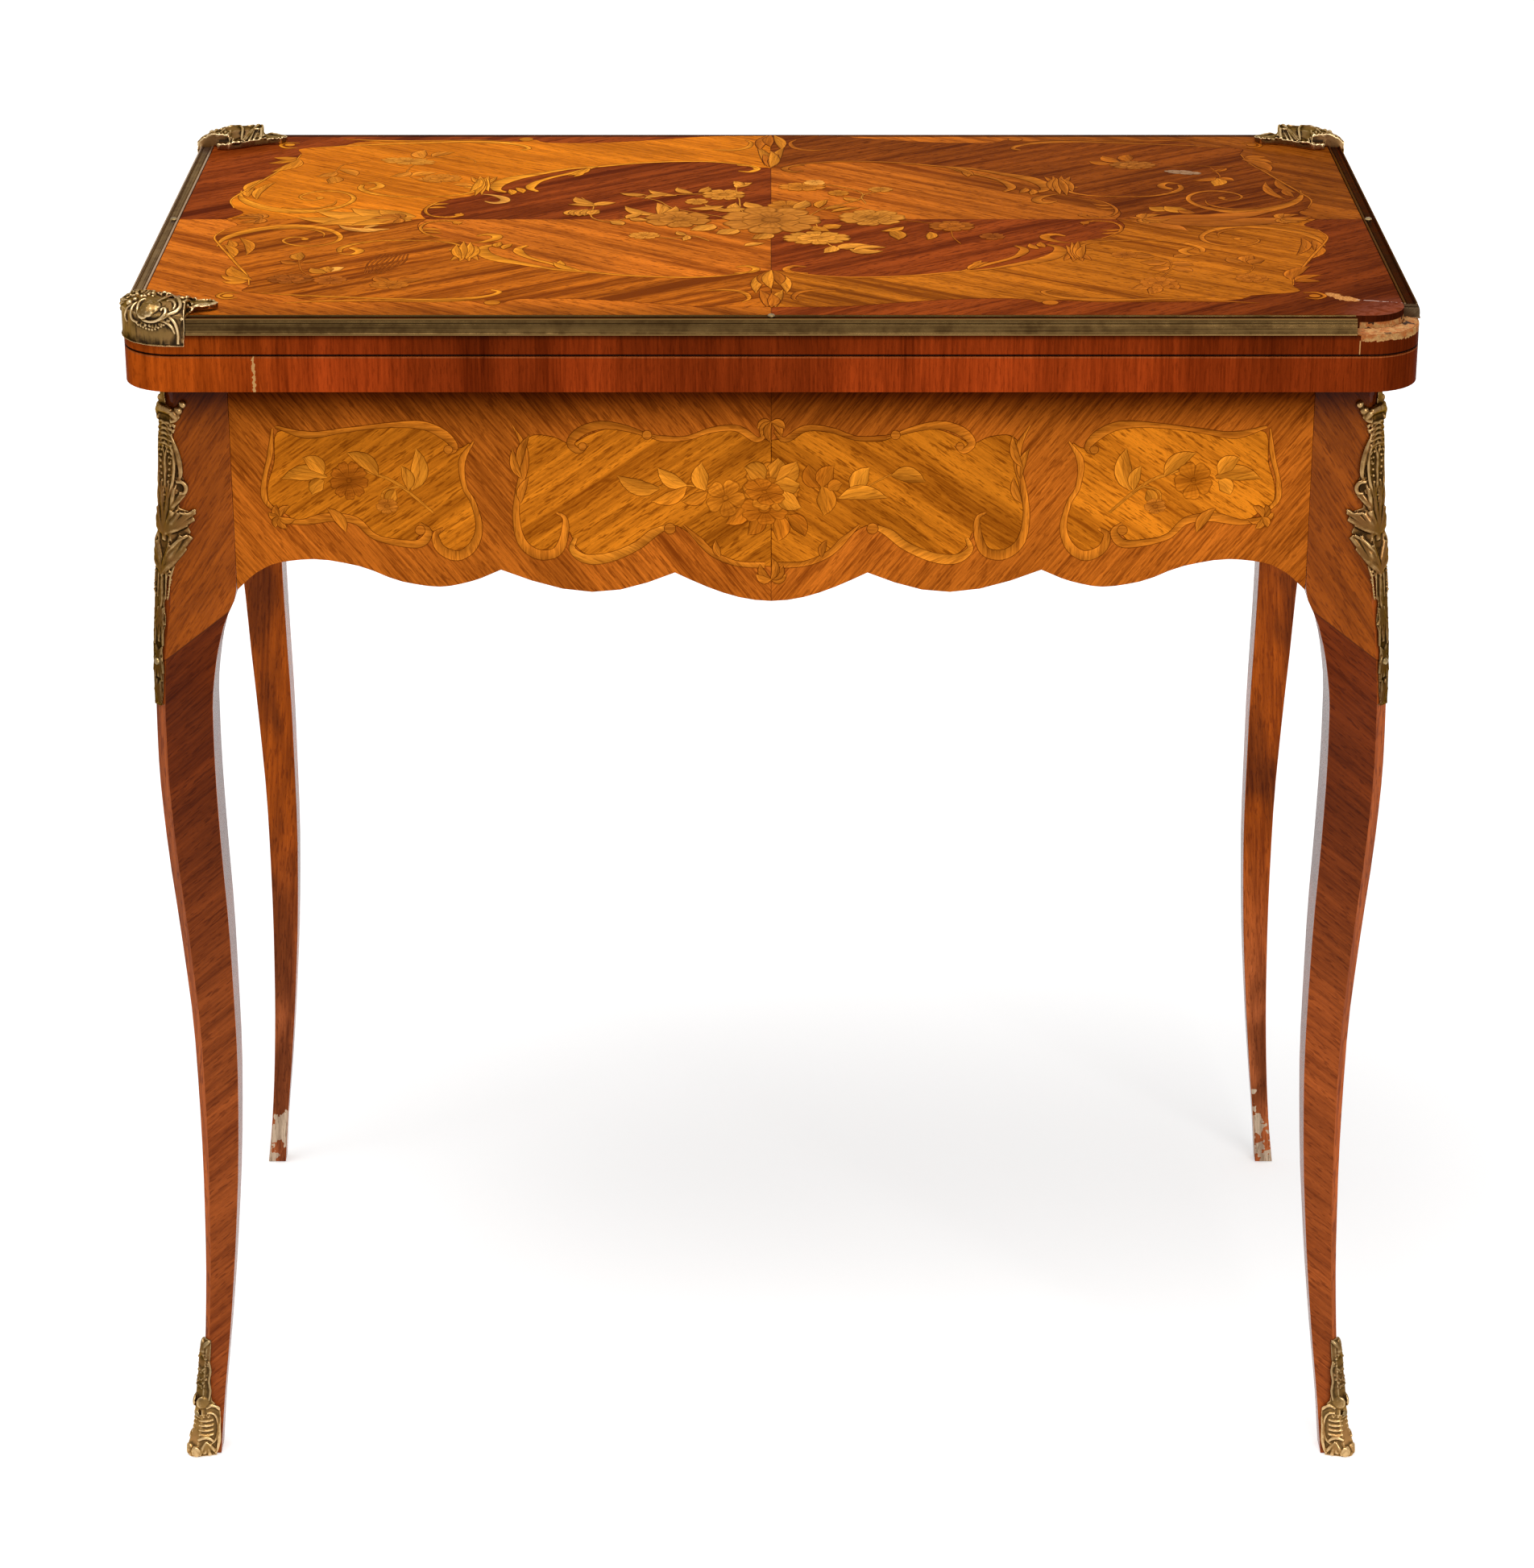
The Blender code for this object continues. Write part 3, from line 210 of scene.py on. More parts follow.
TOP_SPECULAR = 0.0004
LEG_SPECULAR = 0.05
RIGHT_ANGLE = math.pi / 2
TOP_GRAIN_TURN = 0.66
APRON_GRAIN_TURN = 0.90
REAR_LEG_GRAIN_TURN = 1.50
LEG_GRAIN_TURN = 0.98
LOW_LEG_GRAIN_TURN = 0.72

DARK_BANDS = (0.42, 0.34, 0.30)
LIGHT_BANDS = (1.24, 1.30, 1.30)
PORE_TINT = (0.30, 0.24, 0.22)
FLECK_TINT = (0.36, 0.28, 0.25)
# Tint of the painted shade under the leaf's overhang
UNDER_LEAF_SHADE_TINT = (0.15, 0.08, 0.06)
CARCASS_TONE = (0.30, 0.150, 0.055)
TOP_EDGE_TONE = (0.22, 0.075, 0.020)
EDGE_TONE = (0.185, 0.023, 0.003)
EDGE_ORANGE = (0.27, 0.045, 0.003)
EDGE_SHADOW = (0.03, 0.006, 0.002)
# Painted shade in the gap between the leaves, and the painted highlight on the edge just below it
SEAM_GAP_SHADE = (0.012, 0.003, 0.002)
SEAM_EDGE_HIGHLIGHT = (0.30, 0.080, 0.020)
JOINT_TONE = (0.05, 0.012, 0.003)
BACK_EDGE_TONE = (0.030, 0.010, 0.004)
BARE_TONE = (0.52, 0.27, 0.095)
BARE_ORANGE = (0.42, 0.13, 0.035)
STAIN_TONE = (0.045, 0.022, 0.012)
PRINT_TONES = (0.150, 0.030, 0.014), (0.30, 0.085, 0.050)
CHIP_TONES = (0.42, 0.150, 0.035), (0.66, 0.300, 0.090)
SCRATCH_TONE = (0.74, 0.50, 0.40)
FRONT_TONE = (0.50, 0.120, 0.010)
FRONT_JOINT_TONE = (0.06, 0.014, 0.003)
LEG_UPPER = (0.300, 0.064, 0.005)
LEG_DARK = (0.135, 0.022, 0.003)
LEG_LOW = (0.330, 0.070, 0.013)
LEG_JOINT_TONE = (0.04, 0.010, 0.003)
CHAMFER_TONE = (0.56, 0.120, 0.020)
REAR_TONE = (0.50, 0.095, 0.006)
REAR_DARK = (0.13, 0.024, 0.004)
REAR_LOW = (0.62, 0.160, 0.050)
REAR_CHIP_TONE = (0.72, 0.52, 0.36)
BORDER_RED = (0.235, 0.040, 0.005)
BORDER_GOLD = (0.50, 0.120, 0.009)
UPPER_INSIDE_TONE = (0.42, 0.105, 0.010)
LOWER_INSIDE_TONE = (0.40, 0.095, 0.010)


def wood_colour(shader, grain, tone, streak, pores=1.0, hatch=1.5):
    """Colour of polished wood whose grain runs along the X axis of the given coordinates."""
    wide = shader.noise(grain, (2.6, 52.0, 14.0), 2.0, 0.5, 0.3)
    broad = shader.noise(grain, (5.0, 125.0, 30.0), 3.0, 0.6, 0.2)
    fine = shader.noise(grain, (26.0, 620.0, 90.0), 3.0, 0.65)
    swell = wide * 0.8 + broad * 0.9 - 0.85
    level = shader.value("ShaderNodeClamp", {0: swell * streak * 2.6 + (fine - 0.5) * hatch + 0.62})
    colour = shader.mix(level, shader.tint(tone, DARK_BANDS), shader.tint(tone, LIGHT_BANDS))
    pore = shader.noise(grain, (330.0, 2900.0, 900.0), 1.0).step(0.58, 0.72)
    colour = shader.mix(pore * pores * 0.36, colour, shader.tint(tone, PORE_TINT))
    flecks = shader.noise(grain, (105.0, 720.0, 300.0), 2.0, 0.6).step(0.53, 0.66)
    colour = shader.mix(flecks * pores * 0.62, colour, shader.tint(tone, FLECK_TINT))
    cloud = shader.noise(grain, (9.0, 14.0, 9.0))
    return shader.times(colour, cloud.step(0.30, 0.70, 0.88, 1.12)), level, pore


def plain_wood(shader, grain, tone, streak, pores=1.0):
    return wood_colour(shader, grain, tone, streak, pores)[0]


def polish(shader, level, pore):
    """French polish: a little bump at the grain and pores, and a slightly uneven gloss."""
    shader.bump(level * 0.4 - pore, 0.00006, 0.5)
    return pore * 0.20 + 0.18


def plane_grain(shader, across, along, depth, angle):
    """Coordinates that run along grain at an angle in the plane of two axes."""
    return shader.turn(shader.join(across, along, depth), -angle)


CORNER_LEFT = 0.3405
CORNER_BACK = -0.166
TORN_LEVELS = (0.7455, 0.7492)
BARE_LEVELS = (0.7480, 0.7540)
TORN_WOBBLE = 0.006
PRINT_X, PRINT_Y = 0.372, -0.214
PRINT_NEAR, PRINT_FAR = 0.028, 0.050
PRINT_WOBBLE = 0.02
CHIP_X, CHIP_Y = 0.334726, -0.172517
CHIP_HALF_LENGTH, CHIP_HALF_WIDTH = 0.0125, 0.0045
CHIP_TURN = math.radians(-44.34)
CHIP_WOBBLE = 3.6
SCRATCH_SLOPE, SCRATCH_OFFSET = 0.25, 0.0905
SCRATCH_HALF_WIDTH = 0.0004
SCRATCH_ENDS = (0.341, 0.369)
SLIVER_RIGHT = 0.3762
SLIVER_ENDS = (-0.1905, -0.1855)
SLIVER_LEVELS = (0.7395, 0.7475)
SPLIT_SIDES = (0.3398, 0.3404)
SPLIT_LEVELS = (0.7375, 0.7455)
EDGE_FRONT = -0.2


def damaged_corner(shader, place, flat, colour):
    """The corner that lost its mount: bare chipped wood, glue stains and a dull footprint."""
    x, y, z = shader.split(place)
    ragged = shader.noise(place, 210.0, 3.0, 0.6)
    fine = shader.noise(place, 900.0, 3.0, 0.6).step(0.35, 0.65)
    stains = shader.noise(place, 120.0)
    region = (x > CORNER_LEFT) * (y < CORNER_BACK)
    bare = shader.mix(ragged.step(0.40, 0.60), BARE_ORANGE, BARE_TONE)
    bare = shader.mix(fine, shader.times(bare, 0.7), bare)
    bare = shader.mix(stains > x.step(0.336, 0.352, 0.56, 0.68), bare, STAIN_TONE)
    torn = (z + (ragged - 0.5) * TORN_WOBBLE).between(*TORN_LEVELS, 0.0001)
    ledge = z.between(*BARE_LEVELS, 0.0002)
    colour = shader.mix(shader.largest(region * torn, region * ledge), colour, bare)
    on_top = flat * (z > TOP_LEVEL - MM)
    dx, dy = x - PRINT_X, y - PRINT_Y
    reach = shader.math("SQRT", dx * dx + dy * dy) + (ragged - 0.5) * PRINT_WOBBLE
    tone = shader.mix(ragged.step(0.38, 0.62), *PRINT_TONES)
    colour = shader.mix(on_top * reach.step(PRINT_NEAR, PRINT_FAR, 0.45, 0.0), colour, tone)
    dx, dy = x - CHIP_X, y - CHIP_Y
    cosine, sine = math.cos(CHIP_TURN), math.sin(CHIP_TURN)
    along = (dx * cosine + dy * sine) * (1 / CHIP_HALF_LENGTH)
    across = (dy * cosine - dx * sine) * (1 / CHIP_HALF_WIDTH)
    spread = along * along + across * across + (ragged - 0.5) * CHIP_WOBBLE
    colour = shader.mix(on_top * spread.step(0.85, 1.0, 0.95, 0.0), colour, shader.mix(fine, *CHIP_TONES))
    line = x * SCRATCH_SLOPE + y + stains * 0.003 + SCRATCH_OFFSET
    scratches = line.between(-SCRATCH_HALF_WIDTH, SCRATCH_HALF_WIDTH, 0.0002) * x.between(*SCRATCH_ENDS)
    colour = shader.mix(on_top * scratches * ragged.step(0.40, 0.50), colour, SCRATCH_TONE)
    sliver = (x > SLIVER_RIGHT) * y.between(*SLIVER_ENDS, 0.0002) * z.between(*SLIVER_LEVELS, 0.0003)
    split = x.between(*SPLIT_SIDES, 0.0002) * z.between(*SPLIT_LEVELS) * (y < EDGE_FRONT)
    return shader.mix(shader.largest(sliver, split), colour, BARE_TONE)


def cracked(shader, place, colour):
    """The ragged pale crack at the left end of the lower leaf's front edge."""
    x, y, _ = shader.split(place)
    wobble = shader.noise(place, (5.0, 5.0, 330.0), 4.0, 0.6) * 0.0030 + 0.2984
    half_width = shader.noise(place, (3.0, 3.0, 480.0), 3.0).step(0.38, 0.62, 0.0004, 0.0010)
    return shader.mix((abs(x + wobble) < half_width) * (y < EDGE_FRONT), colour, BARE_TONE)


def edge_colour(shader, place):
    """Mahogany-red crossbanding round a leaf, darker in places, more orange at the left end."""
    x, y, z = shader.split(place)
    patch = shader.noise(shader.join(x, y, 0.0), (11.0, 11.0, 1.0)).step(0.36, 0.64, 0.72, 1.3)
    tone = shader.mix(x.step(-0.372, -0.25, 0.85, 0.0), EDGE_TONE, EDGE_ORANGE)
    by_leaf = z.step(LEAF_SEAM - MM, LEAF_SEAM + MM, 1.32, 0.95)
    tone = shader.times(tone, patch * by_leaf * x.step(0.10, 0.34, 1.0, 0.76))
    above_seam = z - LEAF_SEAM
    # Painted shade in the gap between the two leaves, and a painted highlight on the edge just below it
    tone = shader.mix(above_seam.between(-0.0002, 0.0012, 0.0002), tone, SEAM_GAP_SHADE)
    tone = shader.mix(above_seam.between(-0.0010, -0.0005, 0.0002), tone, SEAM_EDGE_HIGHLIGHT)
    tone = shader.mix(z.step(0.7452, 0.7488, 0.0, 0.75), tone, EDGE_SHADOW)
    return wood_colour(shader, shader.join(z, x + y, y), tone, 0.45, 0.6)


def top_colour(shader, place):
    """The book-matched top: gold and red quarters whose grain leans towards the middle lines."""
    x, y, z = shader.split(place)
    quarter = (x * (y - TOP_MIDDLE_SEAM)).sign()
    red = quarter < 0.0
    gold_level = x.step(0.05, 0.25, 1.0, 0.54) * y.step(-0.206, -0.18, 0.62, 1.0)
    level = shader.mix_value(red, gold_level, x.step(0.10, 0.30, 1.0, 0.72))
    tone = shader.times(shader.mix(red, BORDER_GOLD, BORDER_RED), level)
    tone = shader.mix(y.step(0.2130, 0.2150, 0.0, 0.85), tone, BACK_EDGE_TONE)
    grain = plane_grain(shader, x, y, z, quarter * -TOP_GRAIN_TURN)
    colour, level, pore = wood_colour(shader, grain, tone, 1.05, 1.25)
    joint = shader.math("MINIMUM", abs(x), abs(y - TOP_MIDDLE_SEAM))
    return shader.mix(joint.step(0.0001, 0.0006, 0.55, 0.0), colour, JOINT_TONE), level, pore


def inside_colour(shader, place, tone):
    """The border of a playing surface: grain along each side, mitred at the corners."""
    x, y, z = shader.split(place)
    to_end = TOP_HALF_WIDTH - abs(x)
    to_side = TOP_HALF_DEPTH - abs(y)
    turn = shader.mix_value(to_end < to_side, RIGHT_ANGLE, 0.0)
    colour = plain_wood(shader, plane_grain(shader, x, y, z, turn), tone, 0.4)
    mitre = abs(to_end - to_side).step(0.0002, 0.0007, 0.6, 0.0)
    return shader.mix(mitre, colour, JOINT_TONE)


def leaf_material(name, upper):
    """Veneer of a leaf: book-matched top or playing surface, crossbanded edges and a plain inside."""
    shader = Shader(name, specular=TOP_SPECULAR)
    place = shader.place()
    z = shader.split(place)[2]
    flat = abs(shader.split(shader.normal())[2]) > 0.6
    top, level, pore = top_colour(shader, place)
    inside = inside_colour(shader, place, UPPER_INSIDE_TONE if upper else LOWER_INSIDE_TONE)
    top = shader.mix(z > UPPER_LEAF_MIDDLE, inside, top)
    if not upper:
        under = plain_wood(shader, place, CARCASS_TONE, 0.5)
        top = shader.mix(z < LOWER_LEAF_UNDERSIDE, top, under)
    edge, edge_level, edge_pore = edge_colour(shader, place)
    colour = shader.mix(flat, edge, top)
    colour = damaged_corner(shader, place, flat, colour) if upper else cracked(shader, place, colour)
    level = shader.mix_value(flat, edge_level, level)
    pore = shader.mix_value(flat, edge_pore, pore)
    return shader.finish(colour, polish(shader, level, pore))


def painted_shade_under_leaf(shader, colour, z):
    """Painted shade from the leaf's overhang, darkest at the top just under the leaf."""
    share = z.step(FRAME_TOP - 0.0345, FRAME_TOP - 0.0025)
    return shader.mix(share, colour, shader.tint(colour, UNDER_LEAF_SHADE_TINT))


def frame_material(name):
    """Veneer of the aprons: fine grain that leans outwards from the middle, and a plain inside."""
    shader = Shader(name, specular=TOP_SPECULAR)
    normal = shader.normal()
    x, y, z = shader.split(shader.place())
    nx, _, nz = shader.split(normal)
    across = shader.mix_value(abs(nx) > 0.7, x, y)
    straight = shader.join(across, z, y)
    grain = plane_grain(shader, across, z, y, across.sign() * APRON_GRAIN_TURN)
    colour, level, pore = wood_colour(shader, grain, FRONT_TONE, 0.42, 0.95, 2.6)
    colour = shader.mix(abs(across).step(0.0001, 0.0005, 0.5, 0.0), colour, FRONT_JOINT_TONE)
    # Painted shade at the top of the aprons, under the leaf's overhang
    colour = painted_shade_under_leaf(shader, colour, z)
    from_middle = {0: shader.join(x, y, 0.0), 1: normal}
    outward = shader.value("ShaderNodeVectorMath", from_middle, "Value", operation="DOT_PRODUCT")
    colour = shader.mix(outward < -0.05, colour, plain_wood(shader, straight, CARCASS_TONE, 0.6, 1.3))
    colour = shader.mix(nz > 0.7, colour, plain_wood(shader, straight, TOP_EDGE_TONE, 0.5))
    return shader.finish(colour, polish(shader, level, pore))


JOINT_SLOPE, JOINT_LEVEL = 0.72, 0.805
CHIPPED_LOW, CHIPPED_HIGH = 0.008, 0.075


def front_leg_tone(shader, z, lower):
    tone = shader.mix(lower, LEG_UPPER, shader.mix(z.step(0.22, 0.50, 1.0, 0.0), LEG_DARK, LEG_LOW))
    return tone, -shader.mix_value(lower, LEG_GRAIN_TURN, LOW_LEG_GRAIN_TURN)


def rear_leg_tone(shader, place, z):
    """Mottled polish, paler towards the floor, with the wood bare in spots at the foot."""
    zones = shader.noise(place, (30.0, 30.0, 11.0)).step(0.40, 0.60)
    body = shader.mix(z.step(0.08, 0.30, 0.9, 0.0), REAR_TONE, REAR_LOW)
    tone = shader.mix(zones * 0.75, body, REAR_DARK)
    chips = shader.noise(place, (70.0, 70.0, 60.0), 3.0, 0.6) > z.step(CHIPPED_LOW, CHIPPED_HIGH, 0.46, 0.72)
    return shader.mix(chips * (z < CHIPPED_HIGH), tone, REAR_CHIP_TONE), -REAR_LEG_GRAIN_TURN


def leg_material(name, rear):
    """Veneer of a leg: leaning grain above a slanting joint, darker below it, straight on the chamfer."""
    shader = Shader(name, specular=LEG_SPECULAR)
    place = shader.place()
    x, y, z = shader.split(place)
    nx, ny, nz = shader.split(shader.normal())
    across = shader.mix_value(abs(nx) > 0.8, x, y)
    cut = z - (JOINT_LEVEL - abs(across) * JOINT_SLOPE)
    lower = 1.0 - cut.step(-0.0004, 0.0004)
    tone, turn = rear_leg_tone(shader, place, z) if rear else front_leg_tone(shader, z, lower)
    diagonal = (abs(nx) > 0.35) * (abs(ny) > 0.35)
    lean = shader.mix_value(diagonal, across.sign() * turn, RIGHT_ANGLE)
    tone = shader.mix(diagonal * 0.75, tone, CHAMFER_TONE)
    colour, level, pore = wood_colour(shader, plane_grain(shader, across, z, y, lean), tone, 0.6)
    if not rear:
        colour = shader.mix(abs(cut).step(0.0002, 0.0008, 0.6, 0.0), colour, LEG_JOINT_TONE)
    # Painted shade at the top of the legs, under the leaf's overhang
    colour = painted_shade_under_leaf(shader, colour, z)
    end_grain = shader.noise(place, 700.0, 3.0, 0.6).step(0.3, 0.7, 0.7, 1.2)
    colour = shader.mix(nz > 0.9, colour, shader.times(TOP_EDGE_TONE, end_grain))
    return shader.finish(colour, polish(shader, level, pore))


def carcass_material():
    shader = Shader("carcass", 0.7, specular=0.25)
    x, y, z = shader.split(shader.place())
    colour, level, pore = wood_colour(shader, shader.join(y, x, z), CARCASS_TONE, 0.6, 1.4)
    shader.bump(level - pore, 0.0002, 0.6)
    return shader.finish(colour)


STRIP_TINT = (0.36, 0.27, 0.17, 1)
STRIP_INNER_X, STRIP_INNER_Y = 0.369, 0.211
STRIP_FACE_TOP = 0.7578
# Where the moulding gets painted highlights along its ridge lines and painted shade along its groove lines
RIDGE_HIGHLIGHTS = (0.0073, 0.0083), (0.0, 0.0012)
GROOVE_SHADES = (0.0060, 0.0067), (0.0017, 0.0022)
SIDE_RIDGE_HIGHLIGHT = (0.7490, 0.7497)
SIDE_GROOVE_SHADE = (0.7556, 0.7563)


def strip_material(name, dark, light):
    """Bronze moulding: lines along it, painted shade along each groove and painted highlights along each
    ridge.
    """
    shader = Shader(name, metallic=1.0)
    shader.set("Specular Tint", STRIP_TINT)
    place = shader.place()
    x, y, z = shader.split(place)
    outward = shader.largest(abs(x) - STRIP_INNER_X, -y - STRIP_INNER_Y)
    lines = shader.noise(shader.join(outward - z, x + y, 0.0), (1500.0, 5.0, 1.0), 3.0, 0.6)
    spots = shader.noise(place, 160.0, 4.0, 0.6)
    clouds = shader.noise(place, 24.0, 3.0)
    share = (lines * 0.5 + spots * 0.25 + clouds * 0.25).step(0.40, 0.60)
    on_top = z > STRIP_FACE_TOP
    ridge_highlights = shader.largest(*(on_top * outward.between(*ends, 0.0002) for ends in RIDGE_HIGHLIGHTS),
                            z.between(*SIDE_RIDGE_HIGHLIGHT, 0.0002))
    groove_shades = shader.largest(*(on_top * outward.between(*ends, 0.0002) for ends in GROOVE_SHADES),
                             z.between(*SIDE_GROOVE_SHADE, 0.0002))
    colour = shader.mix(share, dark, light)
    # Painted highlight along each ridge and painted shade along each groove
    colour = shader.mix(ridge_highlights * 0.8, colour, tuple(1.7 * part for part in light))
    colour = shader.mix(groove_shades * 0.75, colour, tuple(0.3 * part for part in dark))
    shader.bump(lines * 0.6 + ridge_highlights - groove_shades, 0.0002, 0.5)
    return shader.finish(colour, share.step(0.0, 1.0, 0.44, 0.26))


def metal_material(name, colour, roughness):
    shader = Shader(name, metallic=1.0)
    spots = shader.noise(shader.place(), 240.0, 4.0, 0.6)
    tone = shader.mix(spots.step(0.35, 0.65), tuple(0.6 * part for part in colour), colour)
    shader.bump(spots, 0.0001, 0.3)
    return shader.finish(tone, spots.step(0.3, 0.7, roughness + 0.1, roughness - 0.05))


# Smooth shading and soft edges for the nodes that stay

MERGE_DISTANCE = 0.00001
SMOOTH_BELOW = math.radians(32)
BEVEL_ABOVE = math.radians(40)


def smoothing_group():
    """Merge the corners of a node's faces, then shade it smooth except along its sharp edges."""
    group = bpy.data.node_groups.new("smooth_surface", "GeometryNodeTree")
    group.interface.new_socket("Geometry", in_out="INPUT", socket_type="NodeSocketGeometry")
    group.interface.new_socket("Geometry", in_out="OUTPUT", socket_type="NodeSocketGeometry")
    add = group.nodes.new
    link = group.links.new
    start, end = add("NodeGroupInput"), add("NodeGroupOutput")
    plain = add("GeometryNodeRemoveAttribute")
    plain.inputs["Name"].default_value = "custom_normal"
    merge = add("GeometryNodeMergeByDistance")
    merge.inputs["Distance"].default_value = MERGE_DISTANCE
    faces = add("GeometryNodeSetShadeSmooth")
    edges = add("GeometryNodeSetShadeSmooth")
    edges.domain = "EDGE"
    angle = add("GeometryNodeInputMeshEdgeAngle")
    small = add("FunctionNodeCompare")
    small.operation = "LESS_THAN"
    small.inputs[1].default_value = SMOOTH_BELOW
    link(start.outputs[0], plain.inputs["Geometry"])
    link(plain.outputs["Geometry"], merge.inputs["Geometry"])
    link(merge.outputs["Geometry"], faces.inputs["Geometry"])
    link(faces.outputs["Geometry"], edges.inputs["Geometry"])
    link(angle.outputs["Unsigned Angle"], small.inputs[0])
    link(small.outputs[0], edges.inputs["Shade Smooth"])
    link(edges.outputs["Geometry"], end.inputs[0])
    return group


SMOOTHING = smoothing_group()


def soften(piece, width):
    piece.modifiers.new("smooth", "NODES").node_group = SMOOTHING
    if width:
        bevel = piece.modifiers.new("edges", "BEVEL")
        bevel.width = width
        bevel.segments = 2
        bevel.limit_method = "ANGLE"
        bevel.angle_limit = BEVEL_ABOVE


def dress(names, material, width=0.0):
    """Give CAD nodes a material and soft edges."""
    for name in names:
        node = nodes[name]
        node.data.materials.clear()
        node.data.materials.append(material)
        soften(node, width)


def named(*starts):
    """The CAD nodes whose names start with one of some words."""
    return [name for name in nodes if name.startswith(starts)]


LEAF_BEVEL = 0.0005
FRAME_BEVEL = 0.0004
INNER_BEVEL = 0.0003

dress(["upper_leaf"], leaf_material("upper_veneer", True), LEAF_BEVEL)
dress(["lower_leaf"], leaf_material("lower_veneer", False), LEAF_BEVEL)
dress(named("apron"), frame_material("frame_veneer"), FRAME_BEVEL)
dress(named("leg_front"), leg_material("leg_veneer", False), FRAME_BEVEL)
dress(named("leg_rear"), leg_material("rear_leg_veneer", True), FRAME_BEVEL)
dress(named("batten", "well", "pivot_rail", "stop_peg"), carcass_material(), INNER_BEVEL)
dress(["strip_front"], strip_material("strip_bronze", (0.038, 0.019, 0.006), (0.108, 0.061, 0.020)))
# The left strip's paler colours are a painted reflection of bright surroundings
dress(["strip_left"], strip_material("strip_bronze_painted_reflection", (0.14, 0.100, 0.065), (0.40, 0.310, 0.240)))
dress(["strip_right"], strip_material("strip_bronze_dull", (0.045, 0.025, 0.012), (0.105, 0.066, 0.034)))
dress(named("chute", "sabot", "mount", "strip_screw"), metal_material("ornament_bronze",
                                                                      (0.34, 0.23, 0.10), 0.36))
dress(named("hinge"), metal_material("brass", (0.55, 0.40, 0.16), 0.35))
dress(named("pivot_plate", "pivot_bolt", "pivot_washer", "pivot_nut", "pivot_screw"),
      metal_material("steel", (0.30, 0.29, 0.28), 0.42))


# Marquetry

BURNT = (0.26, 0.19, 0.17)
LIGHT = (0.76, 0.300, 0.045)
GOLD = (0.58, 0.190, 0.014)
AMBER = (0.45, 0.118, 0.008)


def smooth_path(points, spacing=1.2):
    """Points every `spacing` millimetres on a smooth curve through the given ones."""
    points = np.asarray(points, float)
    if len(points) < 3:
        steps = max(2, int(np.linalg.norm(points[-1] - points[0]) / spacing) + 1)
        return points[0] + np.linspace(0, 1, steps)[:, None] * (points[-1] - points[0])
    padded = np.vstack([2 * points[0] - points[1], points, 2 * points[-1] - points[-2]])
    out = []
    for a, b, c, d in zip(padded, padded[1:], padded[2:], padded[3:]):
        steps = max(2, int(np.linalg.norm(c - b) / spacing) + 1)
        t = np.linspace(0, 1, steps, endpoint=False)[:, None]
        out.append(0.5 * (2 * b + (c - a) * t + (2 * a - 5 * b + 4 * c - d) * t ** 2
                          + (3 * b - a - 3 * c + d) * t ** 3))
    return np.vstack(out + [points[-1:]])


def left_of(steps):
    """Directions of length one to the left of steps along a line."""
    steps = steps / np.maximum(np.linalg.norm(steps, axis=1), 1e-6)[:, None]
    return np.stack([-steps[:, 1], steps[:, 0]], 1)


def tinted(tone, factor):
    return np.asarray(tone, float) * factor


def add_piece(name, mesh, material, body):
    """A new piece that rides on a body."""
    piece = bpy.data.objects.new(name, mesh)
    bpy.context.scene.collection.objects.link(piece)
    mesh.materials.append(material)
    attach(piece, body)
    return piece


